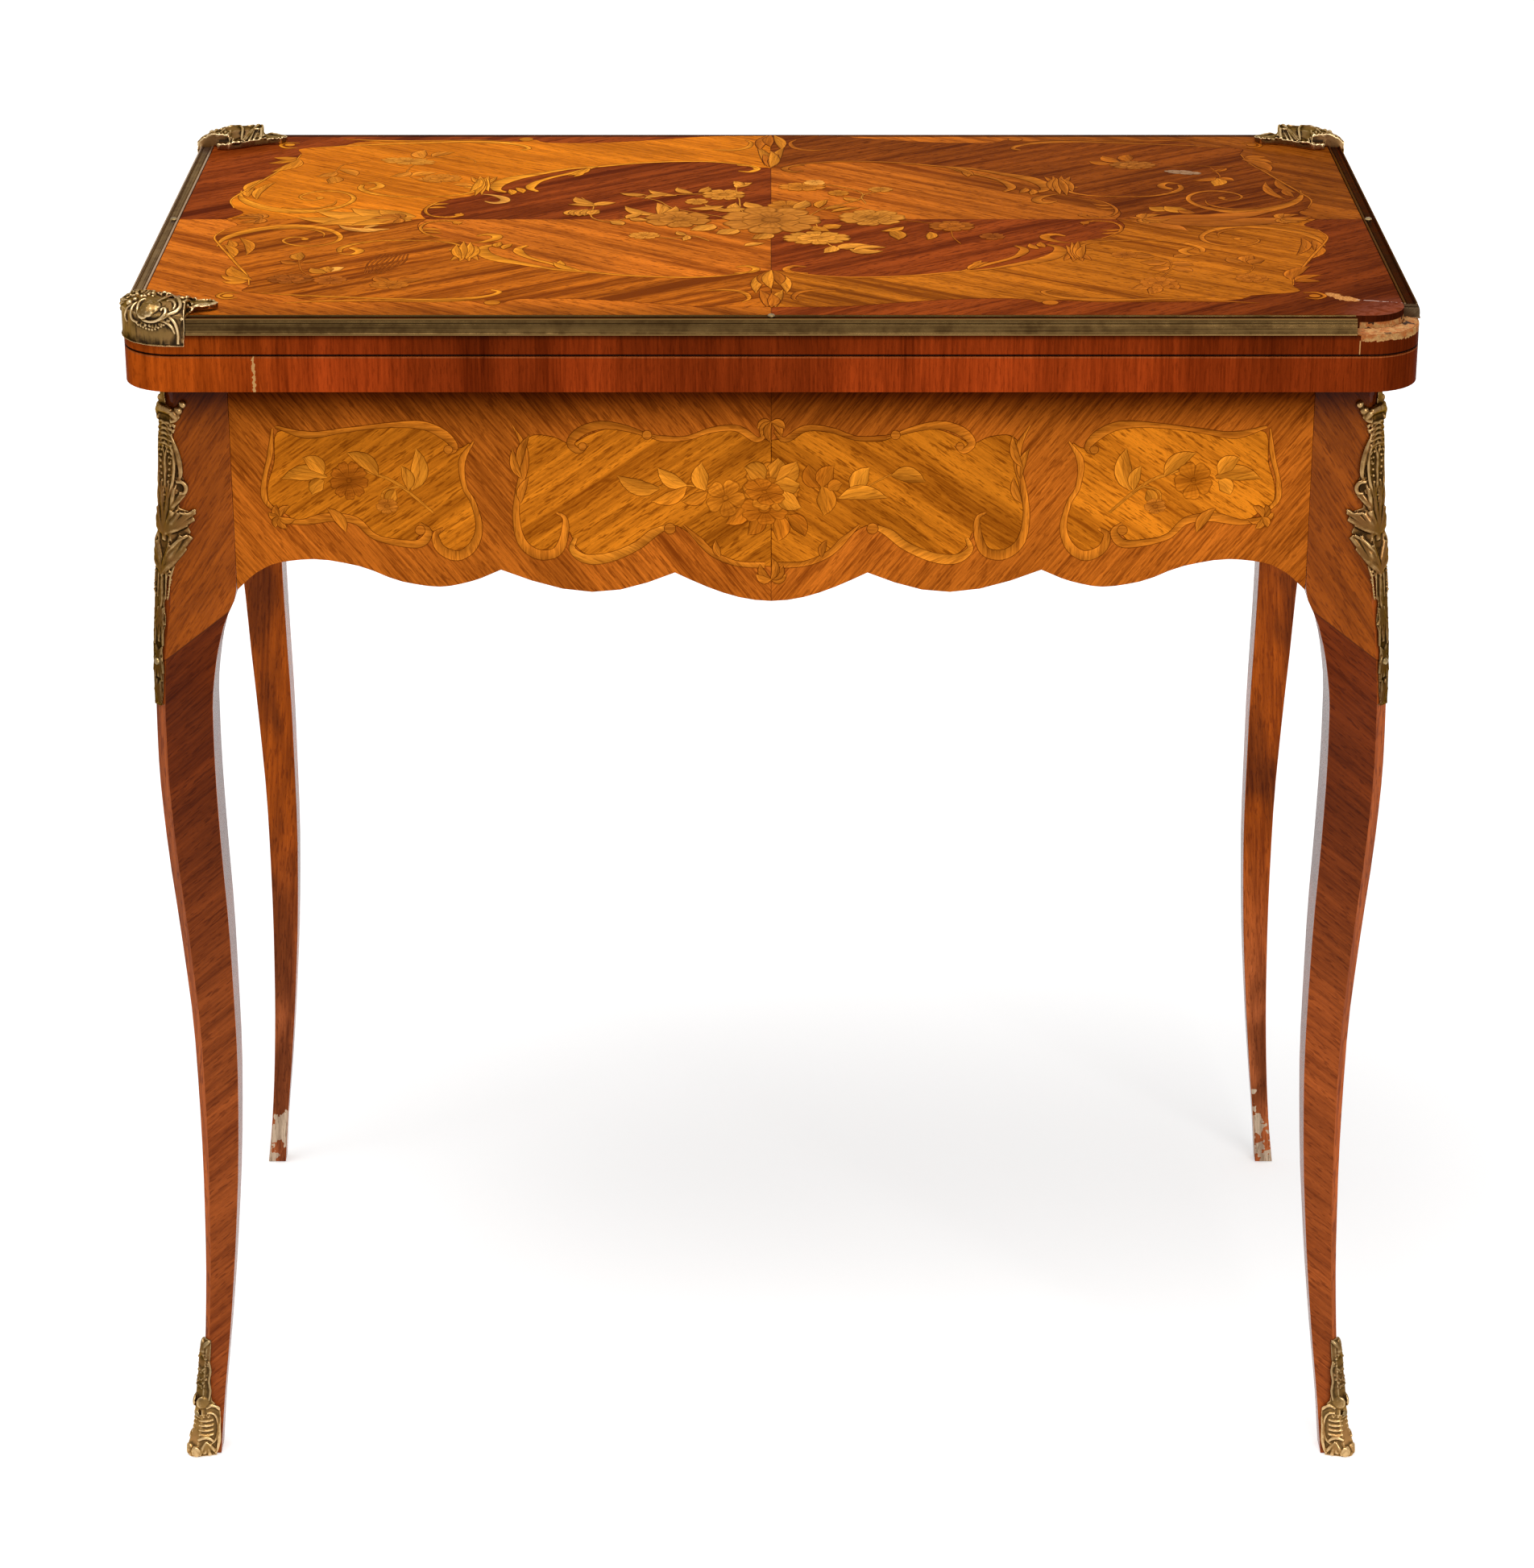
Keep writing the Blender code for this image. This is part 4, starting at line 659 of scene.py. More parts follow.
class Inlay:
    """Thin plates of veneer in one mesh, each with its own tone, grain and height."""

    FOOT = 0.01
    STEP = 0.06

    def __init__(self, place, seed, bold=1.35, outline=1.0):
        self.place = place
        self.bold, self.outline = bold, outline
        self.random = random.Random(seed)
        self.points, self.faces = [], []
        self.tones, self.flats, self.grains = [], [], []
        self.count = self.plates = 0

    def add(self, flat, heights, tones, grain, streak, faces):
        """One plate: its points on the flat in millimetres, with a height and a tone each."""
        start = self.count
        offset = self.random.uniform(0, 900)
        self.plates += 1
        lift = self.STEP * (self.plates % 37) / 40
        heights = [h if h == self.FOOT else h + lift for h in heights]
        self.points += [self.place(x, y, h) for (x, y), h in zip(flat, heights)]
        self.tones += [(*tone, streak) for tone in tones]
        self.flats += [(x, y, offset) for x, y in flat]
        self.grains += [grain] * len(flat)
        self.faces += [[start + corner for corner in face] for face in faces]
        self.count += len(flat)

    def patch(self, outline, tone, grain, level, streak, rim):
        """A plate with the given outline, a dark line round it, and walls and a bottom."""
        outline = np.asarray(outline, float)
        (x, y), (next_x, next_y) = outline.T, np.roll(outline, -1, 0).T
        if np.sum(x * next_y - next_x * y) < 0:
            outline = outline[::-1]
        inward = left_of(np.roll(outline, -1, 0) - outline)
        inward = inward + np.roll(inward, 1, 0)
        inward /= np.maximum(np.linalg.norm(inward, axis=1), 0.6)[:, None]
        count = len(outline)
        rings = [outline, outline, outline + inward * rim * 0.6, outline + inward * rim]
        flat = np.vstack(rings)
        top = level * self.STEP
        heights = [self.FOOT] * count + [top] * (3 * count)
        tones = [tinted(tone, BURNT)] * (3 * count) + [tinted(tone, 1.0)] * count
        faces = [[ring * count + i, ring * count + j, (ring + 1) * count + j, (ring + 1) * count + i]
                 for ring in range(3) for i, j in ring_steps(count)]
        for cell in tessellate_polygon([[Vector((x, y, 0)) for x, y in rings[3]]]):
            faces.append(turned([3 * count + c for c in cell], flat, True))
        for cell in tessellate_polygon([[Vector((x, y, 0)) for x, y in outline]]):
            faces.append(turned(list(cell), flat, False))
        self.add(flat, heights, tones, grain, streak, faces)

    def band(self, path, widths, tone, level=2, streak=0.5, rim=0.42, vein=0.0, fade=0.25, spacing=2.0):
        """A strip along a smooth path: dark at both edges, lighter on one side, with an optional vein."""
        line = smooth_path(path, spacing)
        across = left_of(np.gradient(line, axis=0))
        share = np.linspace(0, 1, len(line))
        half = 0.5 * self.bold * np.interp(share, np.linspace(0, 1, len(widths)), widths)
        half = np.maximum(half, 0.12)
        edge = np.minimum(rim * self.outline, 0.45 * half)
        columns = [(-half, "dark"), (-half, "dark"), (-half + 0.6 * edge, "dark"), (-half + edge, 1.0 - fade)]
        if vein:
            columns += [(-0.5 * vein * half / half.max() - 0.02, 1.0), (0 * half, "vein"),
                        (0.5 * vein * half / half.max() + 0.02, 1.0)]
        else:
            columns += [(0 * half, 1.0)]
        columns += [(half - edge, 1.0 + fade), (half - 0.6 * edge, "dark"), (half, "dark"), (half, "dark")]
        kinds = {"dark": tinted(tone, BURNT), "vein": tinted(tone, 0.55)}
        flat, heights, tones = [], [], []
        for index, (offset, kind) in enumerate(columns):
            flat += list(line + across * np.broadcast_to(offset, half.shape)[:, None])
            low = index in (0, len(columns) - 1)
            heights += [self.FOOT if low else level * self.STEP] * len(line)
            tones += [kinds[kind] if isinstance(kind, str) else tinted(tone, kind)] * len(line)
        count, wide = len(line), len(columns)
        faces = []
        for column in range(wide):
            follower = (column + 1) % wide
            for i in range(count - 1):
                faces.append([column * count + i, follower * count + i,
                              follower * count + i + 1, column * count + i + 1])
        faces.append([column * count for column in range(wide)][::-1])
        faces.append([column * count + count - 1 for column in range(wide)])
        middle = line[count // 2] - line[0]
        grain = math.atan2(middle[1], middle[0])
        faces = [face[::-1] for face in faces]
        self.add(flat, heights, tones, grain, streak, faces)

    def leaf(self, base, tip, width, bend=0.0, tone=GOLD, level=3, streak=0.35):
        """A pointed leaf with a vein, bent sideways by a share of its length."""
        base, tip = np.asarray(base, float), np.asarray(tip, float)
        along = tip - base
        side = np.array([-along[1], along[0]])
        path = [base, base + 0.35 * along + bend * side, base + 0.7 * along + 0.8 * bend * side, tip]
        widths = [0.15 * width, 0.75 * width, width, 0.95 * width, 0.6 * width, 0.05]
        length = float(np.linalg.norm(along))
        self.band(path, widths, tone, level, streak, rim=min(0.45, 0.15 * width),
                  vein=0.5 if width > 3 else 0.0, spacing=max(0.9, length / 12))

    def flower(self, centre, radius, petals=5, tone=LIGHT, level=4, turn=0.0, squash=(1.0, 1.0), tilt=0.0,
               eye=0.24, notch=0.16, inner=0):
        """An open flower: petals with dark outlines, a fine line down each, and a darker eye."""
        per = 12
        count = petals * per
        rings = [0.0, 0.6 * eye, eye, eye + 0.05, 0.5, 0.78, 0.93, 1.0, 1.0]
        flat, heights, tones = [], [], []
        cos_t, sin_t = math.cos(tilt), math.sin(tilt)
        for number, ring in enumerate(rings):
            for i in range(count):
                phase = (i % per) / per
                dip = abs(2 * phase - 1)
                reach = radius * (1 - notch * dip ** 3 - 0.03 * math.cos(4 * math.pi * phase))
                angle = turn + 2 * math.pi * i / count
                distance = ring * (reach if ring > eye else radius)
                x, y = distance * math.cos(angle) * squash[0], distance * math.sin(angle) * squash[1]
                flat.append((centre[0] + x * cos_t - y * sin_t, centre[1] + x * sin_t + y * cos_t))
                last = number == len(rings) - 1
                heights.append(self.FOOT if last else level * self.STEP)
                gap = dip > 0.93 and ring > eye
                if ring >= 0.99 or gap or ring == eye:
                    share = 0.42
                elif ring < eye:
                    share = 0.62 + 0.25 * (i % 2)
                else:
                    share = 0.72 + 0.42 * (ring - eye) / (1 - eye) - 0.16 * (i % 3 == 0)
                tones.append(tinted(tone, (share, share ** 1.15, share ** 1.3)))
        faces = [[ring * count + i, (ring + 1) * count + i, (ring + 1) * count + j, ring * count + j]
                 for ring in range(len(rings) - 1) for i, j in ring_steps(count)]
        faces.append([(len(rings) - 1) * count + i for i in range(count)][::-1])
        self.add(flat, heights, tones, turn, 0.3, faces)
        if inner:
            self.flower(centre, radius * 0.6, inner, tinted(tone, 1.08), level + 1, turn + 0.5, squash, tilt,
                        eye * 1.3, notch)

    def disc(self, centre, radius, tone=GOLD, level=3):
        angles = np.linspace(0, 2 * math.pi, 18, endpoint=False)
        outline = np.stack([centre[0] + radius * np.cos(angles), centre[1] + radius * np.sin(angles)], 1)
        self.patch(outline, tone, 0.0, level, 0.3, rim=min(0.4, 0.3 * radius))

    def fan(self, base, direction, size, count=5, spread=1.9, tone=GOLD, level=3, width=0.22):
        """Leaves that spread from one point, like a palmette."""
        for i in range(count):
            share = i / (count - 1) - 0.5
            angle = direction + spread * share
            length = size * (1 - 0.30 * abs(2 * share))
            tip = (base[0] + length * math.cos(angle), base[1] + length * math.sin(angle))
            self.leaf(base, tip, width * size, 0.18 * (1 if share > 0 else -1), tone, level)

    def stem(self, path, tone=GOLD, width=0.8, level=2):
        self.band(path, [width * 0.7, width, width * 0.7], tone, level, 0.2, rim=0.22, fade=0.1)

    def build(self, name, material, body):
        mesh = bpy.data.meshes.new(name)
        mesh.from_pydata([[MM * v for v in point] for point in self.points], [], self.faces)
        for label, kind, field, values in (("tone", "FLOAT_COLOR", "color", np.array(self.tones)),
                                           ("flat", "FLOAT_VECTOR", "vector", MM * np.array(self.flats)),
                                           ("grain", "FLOAT", "value", np.array(self.grains))):
            layer = mesh.attributes.new(label, kind, "POINT")
            layer.data.foreach_set(field, values.astype(np.float32).ravel())
        mesh.validate()
        add_piece(name, mesh, material, body)


def ring_steps(count):
    """Each corner of a ring with the next one."""
    return [(i, (i + 1) % count) for i in range(count)]


def turned(cell, flat, upwards):
    """A triangle's corners in the order that faces up or down."""
    a, b, c = (flat[i] for i in cell)
    ccw = (b[0] - a[0]) * (c[1] - a[1]) - (b[1] - a[1]) * (c[0] - a[0]) > 0
    return cell if ccw == upwards else cell[::-1]


def marquetry_material():
    """Wood whose tone, grain and place come from the attributes of each plate."""
    shader = Shader("marquetry", specular=TOP_SPECULAR)
    tone, streak = shader.attribute("tone", "Color"), shader.attribute("tone", "Alpha")
    grain = shader.turn(shader.attribute("flat", "Vector"), -shader.attribute("grain", "Fac"))
    pores = streak.step(0.45, 0.75, 0.75, 1.3)
    colour, level, pore = wood_colour(shader, grain, tone, streak, pores)
    return shader.finish(colour, polish(shader, level, pore))


MARQUETRY = marquetry_material()


# Inlay of the top

FIELD_EDGE = [(0, 196), (40, 195), (70, 188), (100, 181), (130, 178), (150, 180), (156, 186), (162, 185),
              (170, 181), (200, 185), (240, 185), (272, 181), (285, 170), (300, 168), (312, 162), (309, 150),
              (312, 130), (320, 108), (328, 85), (337, 60), (342, 42), (338, 25), (331, 14), (340, 0)]
OVAL_EDGE = [(215, 0), (219, 14), (215, 32), (203, 44), (190, 52), (181, 66), (176, 78), (166, 92),
             (150, 103), (130, 115), (110, 121), (85, 129), (60, 132), (40, 132), (20, 126), (8, 119),
             (0, 117)]
FIELD_GRAIN = 0.62
MIDDLE_Y = TOP_MIDDLE_SEAM / MM
FAR_STRETCH = 1.09

# By quarter of the top: left or right, then near or far
FIELD_TONES = {(-1, 1): (0.66, 0.175, 0.007), (1, 1): (0.230, 0.048, 0.004),
               (-1, -1): (0.42, 0.100, 0.006), (1, -1): (0.42, 0.112, 0.006)}
FIELD_STREAKS = {(-1, 1): 0.55, (1, 1): 1.15, (-1, -1): 1.7, (1, -1): 1.25}
SCROLL_TONES = {(-1, 1): (0.78, 0.270, 0.016), (1, 1): (0.47, 0.132, 0.010),
                (-1, -1): (0.70, 0.232, 0.014), (1, -1): (0.55, 0.155, 0.010)}


def quarter_of_top(sx, sy):
    """A function that puts points of the right, far quarter in one of the four quarters."""
    stretch = FAR_STRETCH if sy > 0 else 1.0
    return lambda points: [(sx * x, MIDDLE_Y + sy * y * stretch) for x, y in points]


def draw_field(inlay, sx, sy):
    put = quarter_of_top(sx, sy)
    outline = np.vstack([smooth_path(put(FIELD_EDGE), 4.0), smooth_path(put(OVAL_EDGE), 3.0)])
    inlay.patch(outline, FIELD_TONES[sx, sy], sx * sy * FIELD_GRAIN, 1, FIELD_STREAKS[sx, sy], 0.5)


def draw_volute(inlay, put, bright, dull):
    outer = [(338, 64), (336, 48), (328, 34), (315, 23), (300, 17), (285, 18), (272, 27), (265, 40),
             (266, 52), (274, 61), (285, 63), (295, 58), (299, 50), (295, 43), (288, 43), (285, 47)]
    inlay.band(put(outer), [0.6, 3.5, 5.5, 6.0, 4.0, 2.6, 2.2, 1.8, 1.4, 1.0], bright)
    inlay.disc(put([(286, 47)])[0], 2.6, bright, 3)
    inner = [(308, 26), (296, 22), (284, 25), (276, 33), (275, 42)]
    inlay.band(put(inner), [0.4, 1.8, 2.2, 1.6, 0.4], dull, 3)
    for base, tip in [((332, 50), (330, 72)), ((326, 44), (318, 84)), ((334, 60), (326, 92))]:
        inlay.leaf(*put([base, tip]), 4.5, 0.1, dull, 2)


def draw_scrolls(inlay, sx, sy):
    """The scrollwork that all four quarters share."""
    put = quarter_of_top(sx, sy)
    bright = SCROLL_TONES[sx, sy]
    dull = tinted(bright, (0.86, 0.80, 0.8))
    draw_volute(inlay, put, bright, dull)
    inlay.band(put(FIELD_EDGE[15:22]), [0.5, 1.2, 1.6, 1.2, 0.6], bright)
    inlay.band(put([(300, 167), (275, 172), (240, 177), (205, 181), (180, 179), (165, 172), (160, 164),
                    (165, 160)]), [0.4, 1.5, 2.0, 2.2, 2.5, 4.0, 3.0, 2.0], bright)
    inlay.band(put([(285, 188), (262, 184), (230, 183), (195, 185), (168, 181)]),
               [0.4, 2.4, 1.6, 1.0, 0.4], dull)
    inlay.disc(put([(163, 187)])[0], 5.0, dull, 3)
    inlay.disc(put([(319, 173)])[0], 3.6, bright, 3)
    inlay.band(put([(313, 166), (321, 166), (325, 173), (320, 179), (313, 177)]),
               [0.6, 1.8, 2.0, 1.6, 0.6], bright)
    for base, tip, width in [((309, 138), (324, 108), 7), ((311, 140), (328, 128), 5),
                             ((311, 142), (326, 142), 5)]:
        inlay.leaf(*put([base, tip]), width, 0.12, dull, 2)
    inlay.band(put([(262, 80), (254, 82), (250, 74), (256, 67)]), [0.5, 2.5, 4.0, 3.0], bright)
    inlay.band(put([(196, 72), (188, 68), (193, 58), (205, 52), (222, 50), (240, 51), (254, 58), (262, 68),
                    (262, 77)]), [2.2, 2.0, 1.6, 1.3, 1.2, 1.4, 2.4, 3.2, 2.2], bright)
    inlay.band(put([(8, 117), (20, 126), (40, 132), (60, 132.5), (85, 129), (110, 121), (130, 115),
                    (150, 103), (166, 92), (175, 78), (175, 66), (169, 60)]),
               [1.0, 1.4, 1.6, 1.8, 1.8, 2.0, 2.2, 2.6, 4.0, 6.5, 6.0, 2.0], bright)
    inlay.band(put([(112, 121), (128, 106), (142, 94), (151, 82), (154, 70), (149, 62)]),
               [0.5, 3.5, 2.4, 2.6, 4.6, 2.0], bright)
    for base, tip in [((124, 110), (127, 96)), ((118, 117), (131, 99)), ((163, 70), (158, 58)),
                      ((167, 66), (165, 54))]:
        inlay.leaf(*put([base, tip]), 4.0, 0.1, bright, 3)
    for shift, reach in ((-6, 30), (-2, 38), (2, 40), (6, 32)):
        inlay.leaf(*put([(185 + 0.4 * shift, 92), (186 + shift, 92 - reach)]),
                   4.0, 0.05 * shift / 6, bright, 3)
        inlay.leaf(*put([(185 + 0.3 * shift, 78), (185 + 1.4 * shift, 92 + 0.15 * reach)]), 3.2, 0.0, dull, 2)
    inlay.band(put([(203, 45), (213, 34), (217, 20), (213, 8), (203, 4), (195, 7), (194, 13)]),
               [0.6, 1.2, 1.8, 1.8, 1.6, 2.4, 1.0], dull)
    inlay.disc(put([(195, 9)])[0], 3.2, dull, 3)
    for base, tip in [((216, 24), (204, 26)), ((215, 30), (203, 34))]:
        inlay.leaf(*put([base, tip]), 3.0, 0.1, dull, 2)
    hook_tone = LIGHT if (sx, sy) == (-1, 1) else bright
    inlay.band(put([(184, 56), (176, 53), (169, 46), (169, 39), (175, 36), (181, 40)]),
               [0.4, 2.2, 4.0, 4.6, 3.2, 1.2], hook_tone)
    inlay.band(put([(38, 162), (26, 160), (16, 166), (13, 178), (17, 186)]), [0.8, 2.6, 3.0, 2.2, 0.8], dull)
    inlay.band(put([(22, 124), (12, 121), (9, 114), (14, 108), (21, 110)]), [1.0, 2.4, 3.4, 2.8, 1.2], bright)


def draw_middle_leaves(inlay):
    """The palmettes on the two middle lines."""
    for sy in (-1, 1):
        put = quarter_of_top(1, sy)
        for x, low, high, tone in [(-9, 122, 168, GOLD), (9, 122, 168, GOLD), (-5, 120, 150, AMBER),
                                   (5, 120, 150, AMBER), (0, 118, 158, GOLD), (-7, 196, 160, AMBER),
                                   (7, 196, 160, GOLD), (0, 197, 168, AMBER)]:
            inlay.leaf(*put([(0.35 * x, low), (x, high)]), 5.0, 0.05 if x > 0 else -0.05, tone, 4)
    left = [((-224, 4), (-297, 6), 13), ((-228, 6), (-286, 22), 13), ((-226, 8), (-264, 29), 12),
            ((-222, 8), (-246, 26), 10), ((-228, 2), (-282, -12), 11), ((-224, 0), (-262, -14), 9)]
    for base, tip, width in left:
        inlay.leaf(base, tip, width, 0.10 if tip[1] > 5 else -0.10, (0.68, 0.235, 0.018), 3)
    inlay.band([(-268, -12), (-262, -20), (-250, -24), (-236, -21)], [0.5, 4.5, 6.0, 1.0], LIGHT, 4)
    inlay.leaf((-252, -20), (-243, -12), 3.5, 0.1, LIGHT, 4)
    right = [((228, 4), (338, 8), 13), ((232, 6), (318, 24), 11), ((228, 0), (322, -12), 12),
             ((224, -2), (258, -26), 10), ((224, 6), (300, 18), 10)]
    for base, tip, width in right:
        inlay.leaf(base, tip, width, -0.10 if tip[1] > 5 else 0.10, (0.44, 0.115, 0.010), 3)
    for x in (-232, 232, -318, 318):
        inlay.fan((x, 4), 0.0 if x > 0 else math.pi, 18, 5, 2.6, (0.52, 0.15, 0.012), 4, 0.25)


def draw_bouquet(inlay):
    flower, leaf, stem = inlay.flower, inlay.leaf, inlay.stem
    pale = (0.68, 0.245, 0.026)
    stem([(-8, 4), (-18, 22), (-20, 50), (-22, 78), (-18, 88)], pale)
    stem([(-30, 8), (-60, 28), (-72, 48), (-92, 62)], pale)
    stem([(-30, 62), (-52, 64), (-70, 60), (-92, 63)], pale)
    stem([(-68, 6), (-88, 6), (-100, -4), (-112, 8), (-112, 36), (-120, 55)], pale)
    stem([(-50, -38), (-62, -42), (-72, -38)], pale)
    stem([(-38, -48), (-46, -38), (-56, -34)], pale)
    stem([(28, -8), (30, -26), (36, -58), (48, -68), (66, -70)], pale)
    stem([(20, 2), (34, 30), (54, 48), (58, 66), (45, 82), (30, 90)], pale)
    stem([(60, 40), (58, 60), (70, 72)], pale)
    stem([(60, 6), (84, 0), (108, -14), (112, -40), (116, -55)], AMBER)
    flower((0, 0), 31, 7, (0.52, 0.175, 0.020), 5, 0.2, (1.0, 1.05), 0.3, inner=6)
    flower((-58, 2), 20, 6, (0.55, 0.185, 0.020), 5, 0.1, (1.05, 0.95), inner=5)
    flower((-30, 62), 14, 8, pale, 5, 0.0, (1.0, 0.95), 0.0, 0.3, 0.22, inner=7)
    flower((-47, 45), 7.5, 5, pale, 5, 0.4)
    flower((-78, -36), 9, 7, pale, 5, 0.3, (1.1, 0.9), inner=5)
    flower((28, -42), 21, 10, (0.70, 0.260, 0.028), 6, 0.1, (1.0, 0.72), 0.0, 0.22, 0.18, inner=9)
    flower((63, 6), 21, 7, (0.55, 0.195, 0.022), 5, 0.5, (1.0, 0.9), inner=6)
    flower((112, -14), 14, 6, (0.40, 0.105, 0.009), 5, 0.0, (1.05, 0.85), inner=5)
    flower((136, -38), 8, 5, (0.30, 0.070, 0.007), 4, 0.2)
    flower((20, 82), 14, 8, (0.56, 0.175, 0.014), 5, 0.0, (1.1, 0.75), inner=6)
    flower((28, 92), 7, 5, LIGHT, 6, 0.2)
    flower((43, 66), 7, 6, GOLD, 5, 0.1)
    flower((70, 75), 8, 6, pale, 5, 0.5, (1.0, 0.8))
    flower((10, 32), 15, 6, (0.54, 0.17, 0.014), 4, 0.3, (0.8, 1.1), 0.2)
    draw_tulip(inlay, (-117, 18), pale)
    for base, tip, width, bend in [((-70, 12), (-92, 34), 6, 0.15), ((-70, 12), (-72, 42), 6, -0.1),
                                   ((-70, 12), (-60, 34), 5, -0.15), ((-22, 20), (-42, 38), 5, 0.1),
                                   ((-20, 18), (-22, 42), 6, 0.1), ((-14, 26), (-34, 22), 5, -0.1),
                                   ((-4, 30), (-16, 44), 7, 0.15), ((-30, 34), (-52, 28), 6, 0.1),
                                   ((-60, 60), (-78, 74), 5, 0.15), ((-66, 62), (-80, 52), 5, -0.15),
                                   ((-80, 62), (-96, 66), 5, 0.1), ((-50, 66), (-60, 80), 5, 0.15),
                                   ((-46, 68), (-40, 82), 5, -0.1), ((-112, 40), (-124, 56), 6, 0.15),
                                   ((-112, 36), (-98, 42), 6, 0.1), ((-110, 34), (-128, 38), 5, -0.1),
                                   ((-100, -2), (-92, -12), 6, 0.1), ((-22, 80), (-12, 92), 6, 0.1),
                                   ((-20, 84), (-24, 96), 5, -0.1), ((-52, -36), (-54, -48), 4, 0.1),
                                   ((-52, -36), (-58, -26), 4, 0.1), ((-16, -60), (-4, -54), 5, 0.1),
                                   ((40, -66), (60, -58), 8, 0.1), ((48, -68), (68, -72), 7, -0.15),
                                   ((38, -60), (32, -76), 6, 0.1), ((50, -70), (70, -64), 5, 0.2),
                                   ((34, -20), (44, -12), 8, 0.1), ((26, -14), (36, -26), 7, -0.1),
                                   ((56, 48), (46, 56), 5, 0.1), ((74, -24), (78, -46), 7, 0.1),
                                   ((98, -28), (96, -46), 5, 0.1), ((82, -16), (68, -26), 5, 0.1),
                                   ((30, 30), (36, 50), 5, 0.1), ((14, 28), (22, 48), 7, -0.1),
                                   ((34, 26), (48, 34), 4, 0.1), ((38, 20), (56, 30), 4, 0.1),
                                   ((-36, -10), (-50, -24), 9, 0.1), ((-22, -20), (-34, -32), 9, 0.1),
                                   ((-2, -30), (-12, -44), 8, 0.15), ((-90, 4), (-80, 16), 5, 0.1),
                                   ((-88, 4), (-76, 0), 5, -0.1)]:
        leaf(base, tip, width, bend, pale if tip[0] < 30 or tip[1] < -50 else GOLD, 4)


def draw_tulip(inlay, centre, tone):
    x, y = centre
    for shift, tint in ((-8, 1.0), (-4, 0.8), (0, 1.1), (4, 0.72), (8, 0.95)):
        spread = 0.3 * abs(shift)
        base = (x + 0.9 * shift - 3, y - 8 + spread)
        tip = (x + 0.9 * shift + 2, y + 9 - spread)
        inlay.leaf(base, tip, 5.6, 0.08, tinted(tone, tint), 5)


